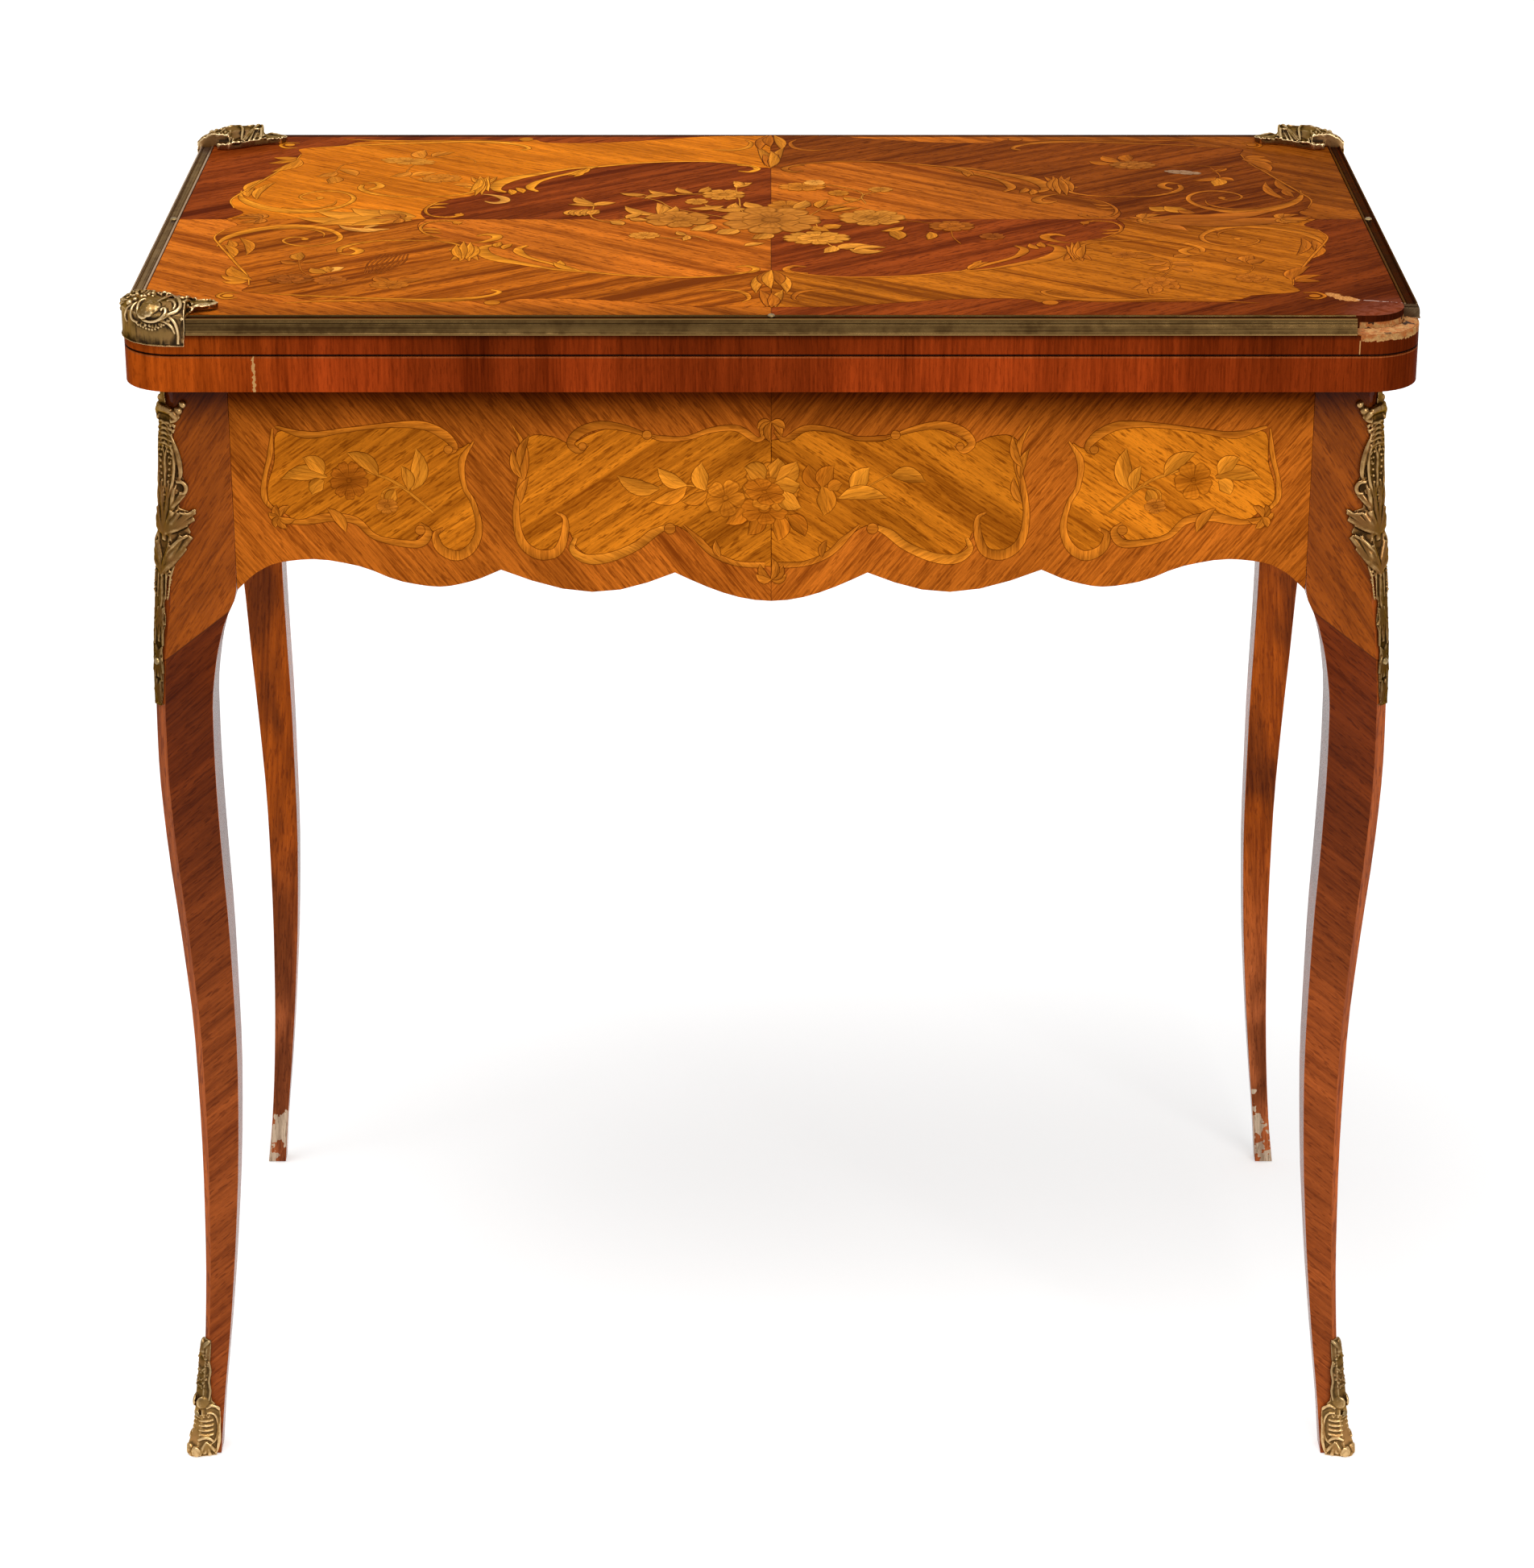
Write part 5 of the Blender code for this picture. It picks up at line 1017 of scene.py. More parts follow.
def draw_outer_sprays(inlay):
    flower, leaf, stem = inlay.flower, inlay.leaf, inlay.stem
    soft = (0.62, 0.195, 0.014)
    flower((-237, 148), 15, 9, (0.68, 0.25, 0.024), 3, 0.1, (1.25, 0.62), -0.25, 0.2, 0.25, inner=7)
    stem([(-232, 142), (-236, 122), (-232, 106), (-222, 96)], soft)
    stem([(-226, 156), (-205, 160), (-194, 150), (-193, 142)], soft)
    stem([(-262, 150), (-278, 140), (-282, 122), (-284, 104)], soft)
    for base, tip, width in [((-228, 156), (-228, 178), 7), ((-222, 160), (-208, 172), 6),
                             ((-280, 126), (-268, 110), 6), ((-282, 120), (-294, 108), 6),
                             ((-283, 108), (-284, 90), 7), ((-232, 110), (-216, 118), 7),
                             ((-228, 102), (-212, 92), 8), ((-222, 98), (-200, 96), 7),
                             ((-234, 120), (-246, 108), 6), ((-204, 88), (-190, 82), 6)]:
        leaf(base, tip, width, 0.15, soft, 2)
    flower((-212, 104), 13, 7, soft, 3, 0.2, (1.0, 0.8), inner=6)
    stem([(-286, -80), (-284, -100), (-280, -118), (-272, -128), (-264, -116)], AMBER)
    for base, tip, width, tone in [((-284, -92), (-285, -74), 6, GOLD), ((-284, -100), (-296, -92), 5, AMBER),
                                   ((-283, -98), (-268, -93), 5, AMBER),
                                   ((-264, -118), (-256, -108), 6, LIGHT),
                                   ((-264, -118), (-266, -106), 6, GOLD),
                                   ((-266, -120), (-276, -110), 6, GOLD),
                                   ((-226, -140), (-236, -128), 6, AMBER),
                                   ((-222, -144), (-206, -134), 6, AMBER)]:
        leaf(base, tip, width, 0.12, tone, 2)
    flower((-286, -134), 13, 8, (0.34, 0.085, 0.008), 3, 0.2, (1.1, 0.8), inner=6)
    flower((-226, -146), 12, 7, (0.50, 0.14, 0.010), 3, 0.2, (1.0, 0.75), inner=5)
    for shift in range(-4, 5):
        stem([(-228 + 2 * shift, -78), (-232 + 2.6 * shift, -98), (-238 + 1.2 * shift, -122)],
             (0.31, 0.072, 0.006), 0.8)
    flower((-262, -136), 10, 6, (0.36, 0.09, 0.008), 3, 0.6)
    stem([(286, 132), (290, 112), (288, 98), (284, 86)], AMBER)
    for base, tip, width, tone in [((287, 104), (284, 84), 7, GOLD), ((287, 106), (272, 98), 5, AMBER),
                                   ((289, 104), (298, 98), 5, AMBER), ((250, 26), (238, 32), 8, GOLD),
                                   ((262, 22), (248, 34), 9, GOLD), ((266, 18), (256, 26), 6, AMBER),
                                   ((228, 146), (218, 162), 7, AMBER), ((234, 148), (236, 166), 7, AMBER),
                                   ((222, 142), (208, 148), 6, AMBER), ((296, 130), (286, 122), 4, AMBER)]:
        leaf(base, tip, width, 0.12, tone, 2)
    stem([(258, 134), (275, 136), (296, 134), (312, 138)], AMBER)
    flower((267, 119), 10, 7, (0.42, 0.23, 0.12), 3, 0.1, (1.25, 0.5), -0.3, inner=5)
    flower((236, 138), 14, 8, (0.40, 0.12, 0.014), 3, 0.4, (1.1, 0.75), inner=6)
    soft = (0.46, 0.125, 0.009)
    for path in ([(226, -78), (240, -92), (238, -112), (228, -124)], [(240, -112), (232, -132), (226, -152)],
                 [(284, -86), (290, -104), (284, -122), (276, -132)]):
        stem(path, soft)
    for base, tip, width in [((286, -96), (292, -82), 7), ((288, -100), (298, -92), 6),
                             ((284, -98), (276, -86), 6), ((232, -84), (216, -74), 8),
                             ((238, -96), (222, -96), 8), ((238, -106), (226, -112), 7),
                             ((240, -100), (254, -104), 7), ((240, -110), (252, -118), 7),
                             ((228, -140), (212, -156), 8), ((228, -142), (240, -156), 8),
                             ((226, -148), (222, -166), 6), ((244, -86), (256, -80), 6)]:
        leaf(base, tip, width, 0.12, soft, 2)
    flower((230, -142), 13, 8, soft, 3, 0.2, (0.9, 1.0), inner=6)
    flower((286, -132), 10, 7, soft, 3, 0.2, inner=5)
    flower((214, -80), 8, 6, soft, 3, 0.2)


def top_place(x, y, h):
    return x, y, TOP_LEVEL / MM + h


def inlay_top():
    inlay = Inlay(top_place, 3, 1.6, 1.45)
    for sx in (-1, 1):
        for sy in (-1, 1):
            draw_field(inlay, sx, sy)
            draw_scrolls(inlay, sx, sy)
    draw_outer_sprays(inlay)
    draw_middle_leaves(inlay)
    draw_bouquet(inlay)
    inlay.build("marquetry_top", MARQUETRY, "upper_top")


inlay_top()


# Inlay of the aprons

FILL_TONE = (0.64, 0.180, 0.009)
LINE_TONE = (0.60, 0.170, 0.012)
PALE_TONE = (0.72, 0.232, 0.016)
MIDDLE_FILL = [(0, 600), (15, 601), (28, 604), (40, 612), (50, 622), (58, 626), (65, 625), (80, 616),
               (95, 608), (108, 607), (116, 613), (120, 622), (124, 613), (132, 609), (141, 611), (147, 620),
               (150, 635), (148, 650), (144, 666), (146, 676), (140, 682), (128, 681), (118, 677), (108, 682),
               (95, 686), (80, 684), (65, 679), (50, 679), (35, 684), (20, 685), (8, 680), (0, 679)]
SIDE_FILL = [(290, 635), (297, 641), (297, 652), (293, 665), (290, 684), (270, 682), (250, 685), (225, 687),
             (205, 687), (192, 680), (184, 674), (177, 677), (181, 664), (180, 650), (176, 640), (172, 625),
             (176, 613), (186, 608), (195, 613), (200, 622), (206, 622), (212, 616), (222, 616), (235, 619),
             (245, 628), (265, 631), (280, 627)]


def side_of_apron(sx):
    """A function that puts points of the right half in one of the two halves."""
    return lambda points: [(sx * x, z) for x, z in points]


def draw_apron_middle(inlay):
    line = LINE_TONE
    for sx in (-1, 1):
        put = side_of_apron(sx)
        inlay.patch(smooth_path(put(MIDDLE_FILL), 2.5), tinted(FILL_TONE, 0.92), -sx * 0.60, 1, 0.75, 0.5)
        inlay.band(put([(2, 684), (8, 679), (20, 686), (35, 685), (50, 680), (65, 680), (75, 683)]),
                   [1.5, 3.5, 3.0, 2.6, 2.2, 3.0, 1.0], line)
        inlay.band(put([(68, 680), (85, 686), (100, 688), (112, 684), (118, 677), (113, 672), (108, 676)]),
                   [1.0, 2.4, 3.4, 4.2, 4.6, 3.4, 1.5], line)
        inlay.disc(put([(73, 682)])[0], 3.0, line)
        inlay.disc(put([(111, 675)])[0], 2.6, line)
        inlay.band(put([(152, 688), (146, 676), (145, 664), (149, 648), (151, 632), (148, 616), (139, 608),
                        (128, 609), (123, 618), (122, 630), (127, 634)]),
                   [0.5, 3.0, 3.6, 3.2, 3.0, 3.6, 4.4, 5.0, 4.4, 3.4, 1.2], line)
        for base, tip in [((147, 655), (152, 674)), ((148, 662), (142, 682)), ((148, 640), (143, 656))]:
            inlay.leaf(*put([base, tip]), 4.0, 0.1, line, 3)
        inlay.band(put([(116, 618), (118, 611), (110, 605), (96, 606), (80, 613), (70, 621), (60, 626)]),
                   [2.0, 4.0, 5.0, 4.6, 4.2, 4.4, 2.0], tinted(line, (1.15, 1.25, 1.3)))
        inlay.disc(put([(60, 624)])[0], 3.6, line)
        inlay.band(put([(52, 626), (44, 618), (34, 608), (20, 602), (4, 601)]),
                   [1.0, 3.4, 3.0, 2.6, 3.2], line)
        inlay.leaf(*put([(30, 606), (33, 617)]), 3.5, 0.1, line, 3)
    inlay.fan((0, 592), math.pi / 2, 14, 5, 2.4, line, 4, 0.28)
    inlay.fan((0, 690), -math.pi / 2, 13, 5, 2.2, line, 4, 0.28)


def draw_apron_bouquet(inlay):
    """A peony over dull leaves, a small flower on each side of it, and a spray of leaves outside those."""
    pale, mid, dull = PALE_TONE, (0.65, 0.190, 0.011), (0.55, 0.148, 0.008)
    inlay.stem([(-26, 645), (-38, 649), (-52, 651), (-68, 650)], pale)
    inlay.stem([(33, 643), (46, 644), (60, 652), (72, 658), (80, 657)], pale)
    for base, tip, width, tone in [((-66, 649), (-91, 657), 7.5, pale), ((-50, 651), (-67, 662), 7.0, pale),
                                   ((-39, 648), (-41, 665), 8.0, pale), ((-50, 650), (-71, 641), 6.5, mid),
                                   ((-38, 647), (-53, 641), 6.0, mid), ((50, 646), (58, 662), 8.5, pale),
                                   ((40, 643), (69, 643), 7.0, pale), ((71, 657), (91, 653), 7.5, pale),
                                   ((28, 650), (22, 664), 8.0, dull), ((30, 650), (37, 663), 8.0, dull),
                                   ((30, 650), (31, 632), 9.0, mid), ((34, 648), (42, 652), 6.0, mid),
                                   ((-14, 640), (-27, 627), 8.0, dull), ((-6, 634), (-14, 620), 7.5, dull),
                                   ((4, 632), (4, 616), 8.0, dull), ((10, 632), (20, 619), 7.5, dull)]:
        inlay.leaf(base, tip, width, 0.12, tone, 3)
    inlay.flower((-27, 643), 12, 5, mid, 4, 0.5, eye=0.14, notch=0.34)
    inlay.flower((-4, 636), 12, 6, dull, 4, 0.1, (1.2, 0.8), notch=0.25)
    inlay.flower((0, 650), 17, 7, mid, 5, 0.2, (1.0, 0.92), eye=0.1, notch=0.2)
    for base, tip, width in [((-4, 655), (-16, 662), 9.0), ((0, 656), (4, 668), 9.0),
                             ((3, 654), (15, 666), 9.5), ((2, 652), (17, 652), 9.5),
                             ((5, 648), (18, 637), 8.5)]:
        inlay.leaf(base, tip, width, -0.12, pale, 6, 0.3)
    inlay.flower((-4, 647), 11, 6, dull, 7, 0.3, (1.15, 0.70), -0.35, eye=0.12, notch=0.12)


def draw_apron_side(inlay, sx):
    line, pale = LINE_TONE, PALE_TONE
    put = side_of_apron(sx)
    inlay.patch(smooth_path(put(SIDE_FILL), 2.5), FILL_TONE, -sx * 0.60, 1, 0.7, 0.5)
    inlay.band(put([(291, 687), (272, 682), (250, 685), (225, 688), (205, 688), (192, 682), (186, 674),
                    (191, 671)]), [1.5, 3.6, 2.6, 2.2, 2.6, 4.0, 4.6, 2.5], line)
    inlay.disc(put([(190, 673)])[0], 2.8, line)
    inlay.band(put([(175, 678), (182, 666), (181, 650), (176, 640), (173, 625), (177, 613), (186, 607),
                    (196, 611), (199, 620), (194, 624)]), [1.0, 3.4, 2.6, 2.4, 2.8, 3.6, 4.6, 5.0, 4.0, 1.6],
               line)
    inlay.band(put([(292, 630), (278, 628), (262, 631), (246, 629), (235, 619), (220, 615), (208, 615),
                    (203, 622), (208, 627)]), [2.0, 2.6, 4.4, 4.0, 3.4, 2.8, 3.6, 4.4, 2.0], line)
    inlay.disc(put([(208, 623)])[0], 3.2, line)
    inlay.band(put([(293, 686), (295, 670), (299, 654), (299, 642), (292, 634)]),
               [1.0, 2.6, 2.2, 3.0, 1.5], line)
    inlay.fan(put([(291, 631)])[0], math.pi / 2 + sx * 1.2, 10, 6, 4.6, line, 4, 0.35)
    inlay.leaf(*put([(252, 622), (263, 637)]), 5.0, 0.1 * sx, line, 3)
    inlay.stem(put([(200, 634), (212, 645), (224, 654), (240, 660)]), pale, 1.6)
    inlay.stem(put([(213, 646), (220, 650), (229, 647), (230, 640)]), pale, 1.1)
    for base, tip, width in [((212, 648), (209, 674), 8.0), ((214, 648), (218, 663), 5.5),
                             ((232, 657), (250, 671), 7.0), ((262, 656), (289, 655), 7.5),
                             ((264, 658), (276, 668), 7.5), ((264, 654), (271, 645), 7.0),
                             ((222, 648), (225, 638), 6.0)]:
        inlay.leaf(*put([base, tip]), width, 0.12 * sx, pale, 3)
    petals, tone = (5, (0.64, 0.178, 0.009)) if sx > 0 else (9, (0.47, 0.118, 0.007))
    inlay.flower(put([(249, 654)])[0], 12, petals, tone, 4, 0.2, (0.95, 1.0), eye=0.12, notch=0.2)
    inlay.flower(put([(227, 638)])[0], 6, 5, (0.58, 0.17, 0.014), 4, 0.2, (1.1, 0.8))


APRON_PLACES = {
    "front": lambda x, z, h: (x, -FRAME_FRONT / MM - h, z),
    "rear": lambda x, z, h: (-x, FRAME_FRONT / MM + h, z),
    "left": lambda y, z, h: (-FRAME_SIDE / MM - h, -y, z),
    "right": lambda y, z, h: (FRAME_SIDE / MM + h, y, z),
}
LONG_SEED, SHORT_SEED = 5, 7


def inlay_aprons():
    """The same marquetry on all four aprons, without the outer cartouches on the two short ones."""
    for name, place in APRON_PLACES.items():
        is_long = name in ("front", "rear")
        inlay = Inlay(place, LONG_SEED if is_long else SHORT_SEED)
        draw_apron_middle(inlay)
        draw_apron_bouquet(inlay)
        if is_long:
            draw_apron_side(inlay, -1)
            draw_apron_side(inlay, 1)
        inlay.build("marquetry_" + name, MARQUETRY, "stand")


inlay_aprons()


# Bronze castings

# The camera that was fitted to the photograph, in metres and in the photograph's pixels
EYE = Vector((-0.0025, -2.6515, 1.4686))
TILT = math.radians(67.652)
FOCAL, MIDDLE_U, MIDDLE_V = 5425.0, 952.0, 973.0
NEAREST, PROBE_STEP = 2.15, 0.012
VOXEL = 0.00042
SHORTEST_STEP = 0.0002


def sight_line(u, v):
    """Direction from the camera through a point of the photograph."""
    ray = Vector(((u - MIDDLE_U) / FOCAL, (MIDDLE_V - v) / FOCAL, -1.0))
    return (Matrix.Rotation(TILT, 3, "X") @ ray).normalized()


def eased(values):
    """Values along a line, each drawn towards its neighbours."""
    inner = [(a + 2 * b + c) / 4 for a, b, c in zip(values, values[1:], values[2:])]
    return [values[0]] + inner + [values[-1]]


class Casting:
    """Ornament modelled on the surface of a bronze node, placed by points of the front view."""

    def __init__(self, node_name, seed, outward, slimmed, limit, twin=False):
        node = nodes[node_name]
        self.random = random.Random(seed)
        plain = bmesh.new()
        plain.from_mesh(node.data)
        plain.transform(node.matrix_world)
        bmesh.ops.remove_doubles(plain, verts=plain.verts, dist=MERGE_DISTANCE)
        bmesh.ops.recalc_face_normals(plain, faces=plain.faces)
        corners = np.array([vertex.co for vertex in plain.verts])
        self.low, self.high = corners.min(axis=0), corners.max(axis=0)
        solid = voxel_mesh(plain)
        slim(solid, Vector(outward).normalized(), slimmed)
        surface = bmesh.new()
        surface.from_mesh(solid)
        self.tree = BVHTree.FromBMesh(surface)
        self.shape = bmesh.new()
        self.twin = twin
        self.body = trim(solid, limit)

    def swapped(self, mesh):
        """A mesh mirrored in the upright plane that halves the corner."""
        shift = self.low[0] - self.low[1]
        mesh.transform(Matrix(((0, 1, 0, shift), (1, 0, 0, -shift), (0, 0, 1, 0), (0, 0, 0, 1))))
        mesh.flip_normals()
        return mesh

    def at(self, u, v, lift=0.0):
        """The place and the normal on the node that the front view shows at a point."""
        ray = sight_line(u, v)
        place, normal = self.tree.ray_cast(EYE, ray)[:2]
        if place is None:
            found = [self.tree.find_nearest(EYE + ray * (NEAREST + PROBE_STEP * step)) for step in range(60)]
            place, normal = min(found, key=lambda one: one[3])[:2]
        return place + normal * lift * MM, normal

    def ball(self, place, size, squash=1.0, normal=None):
        """A closed ball, flattened along the normal by a share."""
        matrix = Matrix.Translation(place)
        if normal is not None:
            matrix = matrix @ normal.to_track_quat("Z", "Y").to_matrix().to_4x4()
        matrix = matrix @ Matrix.Diagonal((1, 1, squash, 1))
        bmesh.ops.create_icosphere(self.shape, subdivisions=2, radius=size * MM, matrix=matrix)

    def bead(self, u, v, size, squash=0.9, lift=0.0):
        place, normal = self.at(u, v, lift)
        self.ball(place, size, squash, normal)

    def beads(self, path, size, spacing):
        for u, v in smooth_path(path, spacing):
            self.bead(u, v, size, 1.0, 0.1)

    def sweep(self, places, normals, wide, high, sides=10):
        """A closed rod along points, with an oval section whose width lies on the surface."""
        rings = []
        count = len(places)
        for i in range(count):
            ahead = (places[min(i + 1, count - 1)] - places[max(i - 1, 0)]).normalized()
            side = ahead.cross(normals[i]).normalized()
            up = side.cross(ahead).normalized()
            ring = []
            for k in range(sides):
                angle = 2 * math.pi * k / sides
                offset = side * math.cos(angle) * wide[i] + up * math.sin(angle) * high[i]
                ring.append(self.shape.verts.new(places[i] + offset * MM))
            rings.append(ring)
        for first, second in zip(rings, rings[1:]):
            for k in range(sides):
                j = (k + 1) % sides
                self.shape.faces.new((first[k], first[j], second[j], second[k]))
        self.shape.faces.new(rings[0][::-1])
        self.shape.faces.new(rings[-1])

    def rod(self, path, widths, height=1.0, lift=0.0, lifts=None):
        """A ridge or leaf along a path of the front view; widths and height in millimetres."""
        line = smooth_path(path, 2.5)
        share = np.linspace(0, 1, len(line))
        radii = np.interp(share, np.linspace(0, 1, len(widths)), widths)
        rise = np.interp(share, np.linspace(0, 1, len(lifts)), lifts) if lifts else np.full(len(line), lift)
        found = [self.at(u, v, r) for (u, v), r in zip(line, rise)]
        places = [Vector(place) for place, _ in found]
        normals = [normal for _, normal in found]
        for _ in range(2):
            places = eased(places)
            normals = [normal.normalized() for normal in eased(normals)]
        kept = [0]
        for i in range(1, len(places)):
            if (places[i] - places[kept[-1]]).length > SHORTEST_STEP:
                kept.append(i)
        if len(kept) < 2:
            return
        self.sweep([places[i] for i in kept], [normals[i] for i in kept],
                   [radii[i] for i in kept], [radii[i] * height for i in kept])

    def ragged(self, path, count, size, spread):
        """Small flames and beads scattered along a path, as on shell work."""
        line = smooth_path(path, 1.0)
        for i in range(count):
            u, v = line[int((i + 0.5) / count * (len(line) - 1))]
            u += self.random.uniform(-spread, spread)
            v += self.random.uniform(-spread, spread)
            turn = self.random.uniform(-1.2, 1.2) - math.pi / 2
            reach = size * self.random.uniform(1.6, 3.2) * 2.0
            tip = (u + reach * math.cos(turn), v + reach * math.sin(turn))
            radius = size * self.random.uniform(0.6, 1.2)
            self.rod([(u, v), tip], [radius, radius * 0.9, radius * 0.3], 1.0, 0.2 * size)

    def shell(self, base, tips, radius, lift=0.0):
        """Fingers of a leaf that spread from one point."""
        for tip in tips:
            middle = ((base[0] + tip[0]) / 2, (base[1] + tip[1]) / 2)
            self.rod([base, middle, tip], [radius * 0.7, radius, radius * 0.85], 0.8, lift)

    def finish(self, faces_kept):
        """Fuse everything into one closed surface, inside the node's own box."""
        ornament = bpy.data.meshes.new("ornament")
        self.shape.to_mesh(ornament)
        self.shape.from_mesh(self.body)
        if self.twin:
            self.shape.from_mesh(self.swapped(ornament))
        result = voxel_mesh(self.shape)
        put_points(result, np.clip(mesh_array(result, "co"), self.low, self.high))
        layer = result.attributes.new("relief", "FLOAT", "POINT")
        layer.data.foreach_set("value", relief_of(result))
        if 2 * len(result.polygons) > faces_kept:
            result = modified(result, "DECIMATE", ratio=faces_kept / (2 * len(result.polygons)))
        result.shade_smooth()
        return result


def modified(mesh, kind, **settings):
    """A copy of a mesh with one modifier applied."""
    carrier = bpy.data.objects.new("draft", mesh)
    bpy.context.scene.collection.objects.link(carrier)
    modifier = carrier.modifiers.new("change", kind)
    for key, value in settings.items():
        setattr(modifier, key, value)
    bpy.context.view_layer.update()
    graph = bpy.context.evaluated_depsgraph_get()
    result = bpy.data.meshes.new_from_object(carrier.evaluated_get(graph))
    bpy.data.objects.remove(carrier)
    return result


def voxel_mesh(shape):
    """One closed surface round overlapping closed pieces."""
    draft = bpy.data.meshes.new("draft")
    shape.to_mesh(draft)
    return modified(draft, "REMESH", mode="VOXEL", voxel_size=VOXEL)


def mesh_array(mesh, field):
    """The places or normals of a mesh's points, one row each."""
    values = np.empty(3 * len(mesh.vertices), np.float32)
    mesh.vertices.foreach_get(field, values)
    return values.reshape(-1, 3)


def put_points(mesh, points):
    mesh.vertices.foreach_set("co", points.ravel().astype(np.float32))
    mesh.update()


def slim(mesh, outward, amount):
    """Bring the outer side in, so that the ornament has room to stand out."""
    normals = mesh_array(mesh, "normal")
    share = np.clip(normals @ np.array(outward) * 2.5, 0, 1)[:, None]
    put_points(mesh, mesh_array(mesh, "co") - normals * share * amount * MM)


def trim(mesh, limit):
    """Press what the front view shows to the right of a line back onto that line."""
    points = mesh_array(mesh, "co").astype(float)
    seen = (points - np.array(EYE)) @ np.array(Matrix.Rotation(-TILT, 3, "X")).T
    u = MIDDLE_U + FOCAL * seen[:, 0] / -seen[:, 2]
    v = MIDDLE_V - FOCAL * seen[:, 1] / -seen[:, 2]
    heights, edge = zip(*limit)
    excess = np.maximum(0, u - np.interp(v, heights, edge))
    points[:, 0] += excess * seen[:, 2] / FOCAL
    put_points(mesh, points)
    return mesh


RELIEF_ROUNDS = 14
RELIEF_DEPTH = 0.00034
RELIEF_OF_FLATS = 0.42


def relief_of(mesh):
    """How far each point stands above (1) or lies below (0) its smoothed surroundings."""
    points = mesh_array(mesh, "co").astype(float)
    count = len(points)
    ends = np.empty(2 * len(mesh.edges), np.int64)
    mesh.edges.foreach_get("vertices", ends)
    first, second = ends.reshape(-1, 2).T
    degree = np.maximum(np.bincount(ends, minlength=count), 1)[:, None]
    smooth = points.copy()
    for _ in range(RELIEF_ROUNDS):
        total = np.zeros_like(smooth)
        for axis in range(3):
            total[:, axis] += np.bincount(first, smooth[second, axis], count)
            total[:, axis] += np.bincount(second, smooth[first, axis], count)
        smooth = 0.5 * smooth + 0.5 * total / degree
    height = np.sum((points - smooth) * mesh_array(mesh, "normal"), axis=1)
    return np.clip(RELIEF_OF_FLATS + height / RELIEF_DEPTH, 0, 1).astype(np.float32)


def cut_back(mesh, level):
    """Take away what lies behind a level, and close the cut."""
    shape = bmesh.new()
    shape.from_mesh(mesh)
    parts = shape.verts[:] + shape.edges[:] + shape.faces[:]
    cut = bmesh.ops.bisect_plane(shape, geom=parts,
                                 plane_co=(0, level, 0), plane_no=(0, 1, 0), clear_outer=True)
    rim = [part for part in cut["geom_cut"] if isinstance(part, bmesh.types.BMEdge)]
    bmesh.ops.holes_fill(shape, edges=rim, sides=0)
    shape.to_mesh(mesh)
    shape.free()


REAR_MOUNT_END = 0.2119


def place_casting(mesh, name, body, material, mirror_x=False, mirror_y=False):
    """Put a casting, or its mirror image, in place of the node of the same name."""
    copy = mesh.copy()
    copy.name = name + "_cast"
    copy.transform(Matrix.Diagonal((-1 if mirror_x else 1, -1 if mirror_y else 1, 1, 1)))
    if mirror_x != mirror_y:
        copy.flip_normals()
    if mirror_y:
        cut_back(copy, REAR_MOUNT_END)
    copy.materials.clear()
    piece = add_piece(name + "_cast", copy, material, body)
    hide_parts(name)


# How far to the right each casting's body reaches in the front view: a height, then a place across
MOUNT_LIMIT = [(380, 300), (386, 241), (394, 234), (403, 229), (440, 228)]
CHUTE_LIMIT = [(480, 203), (502, 206), (509, 219), (517, 219), (526, 211), (540, 214), (560, 221), (580, 226),
               (592, 227), (600, 232), (610, 231), (618, 225), (630, 222), (636, 240), (646, 240), (654, 234),
               (660, 237), (670, 233), (680, 227), (690, 219), (700, 212), (720, 207), (750, 204), (768, 206),
               (776, 206), (790, 201), (830, 203), (860, 203), (870, 202), (885, 199)]
SABOT_LIMIT = [(1655, 263), (1690, 261), (1720, 262), (1738, 263), (1746, 272), (1752, 320), (1820, 320)]


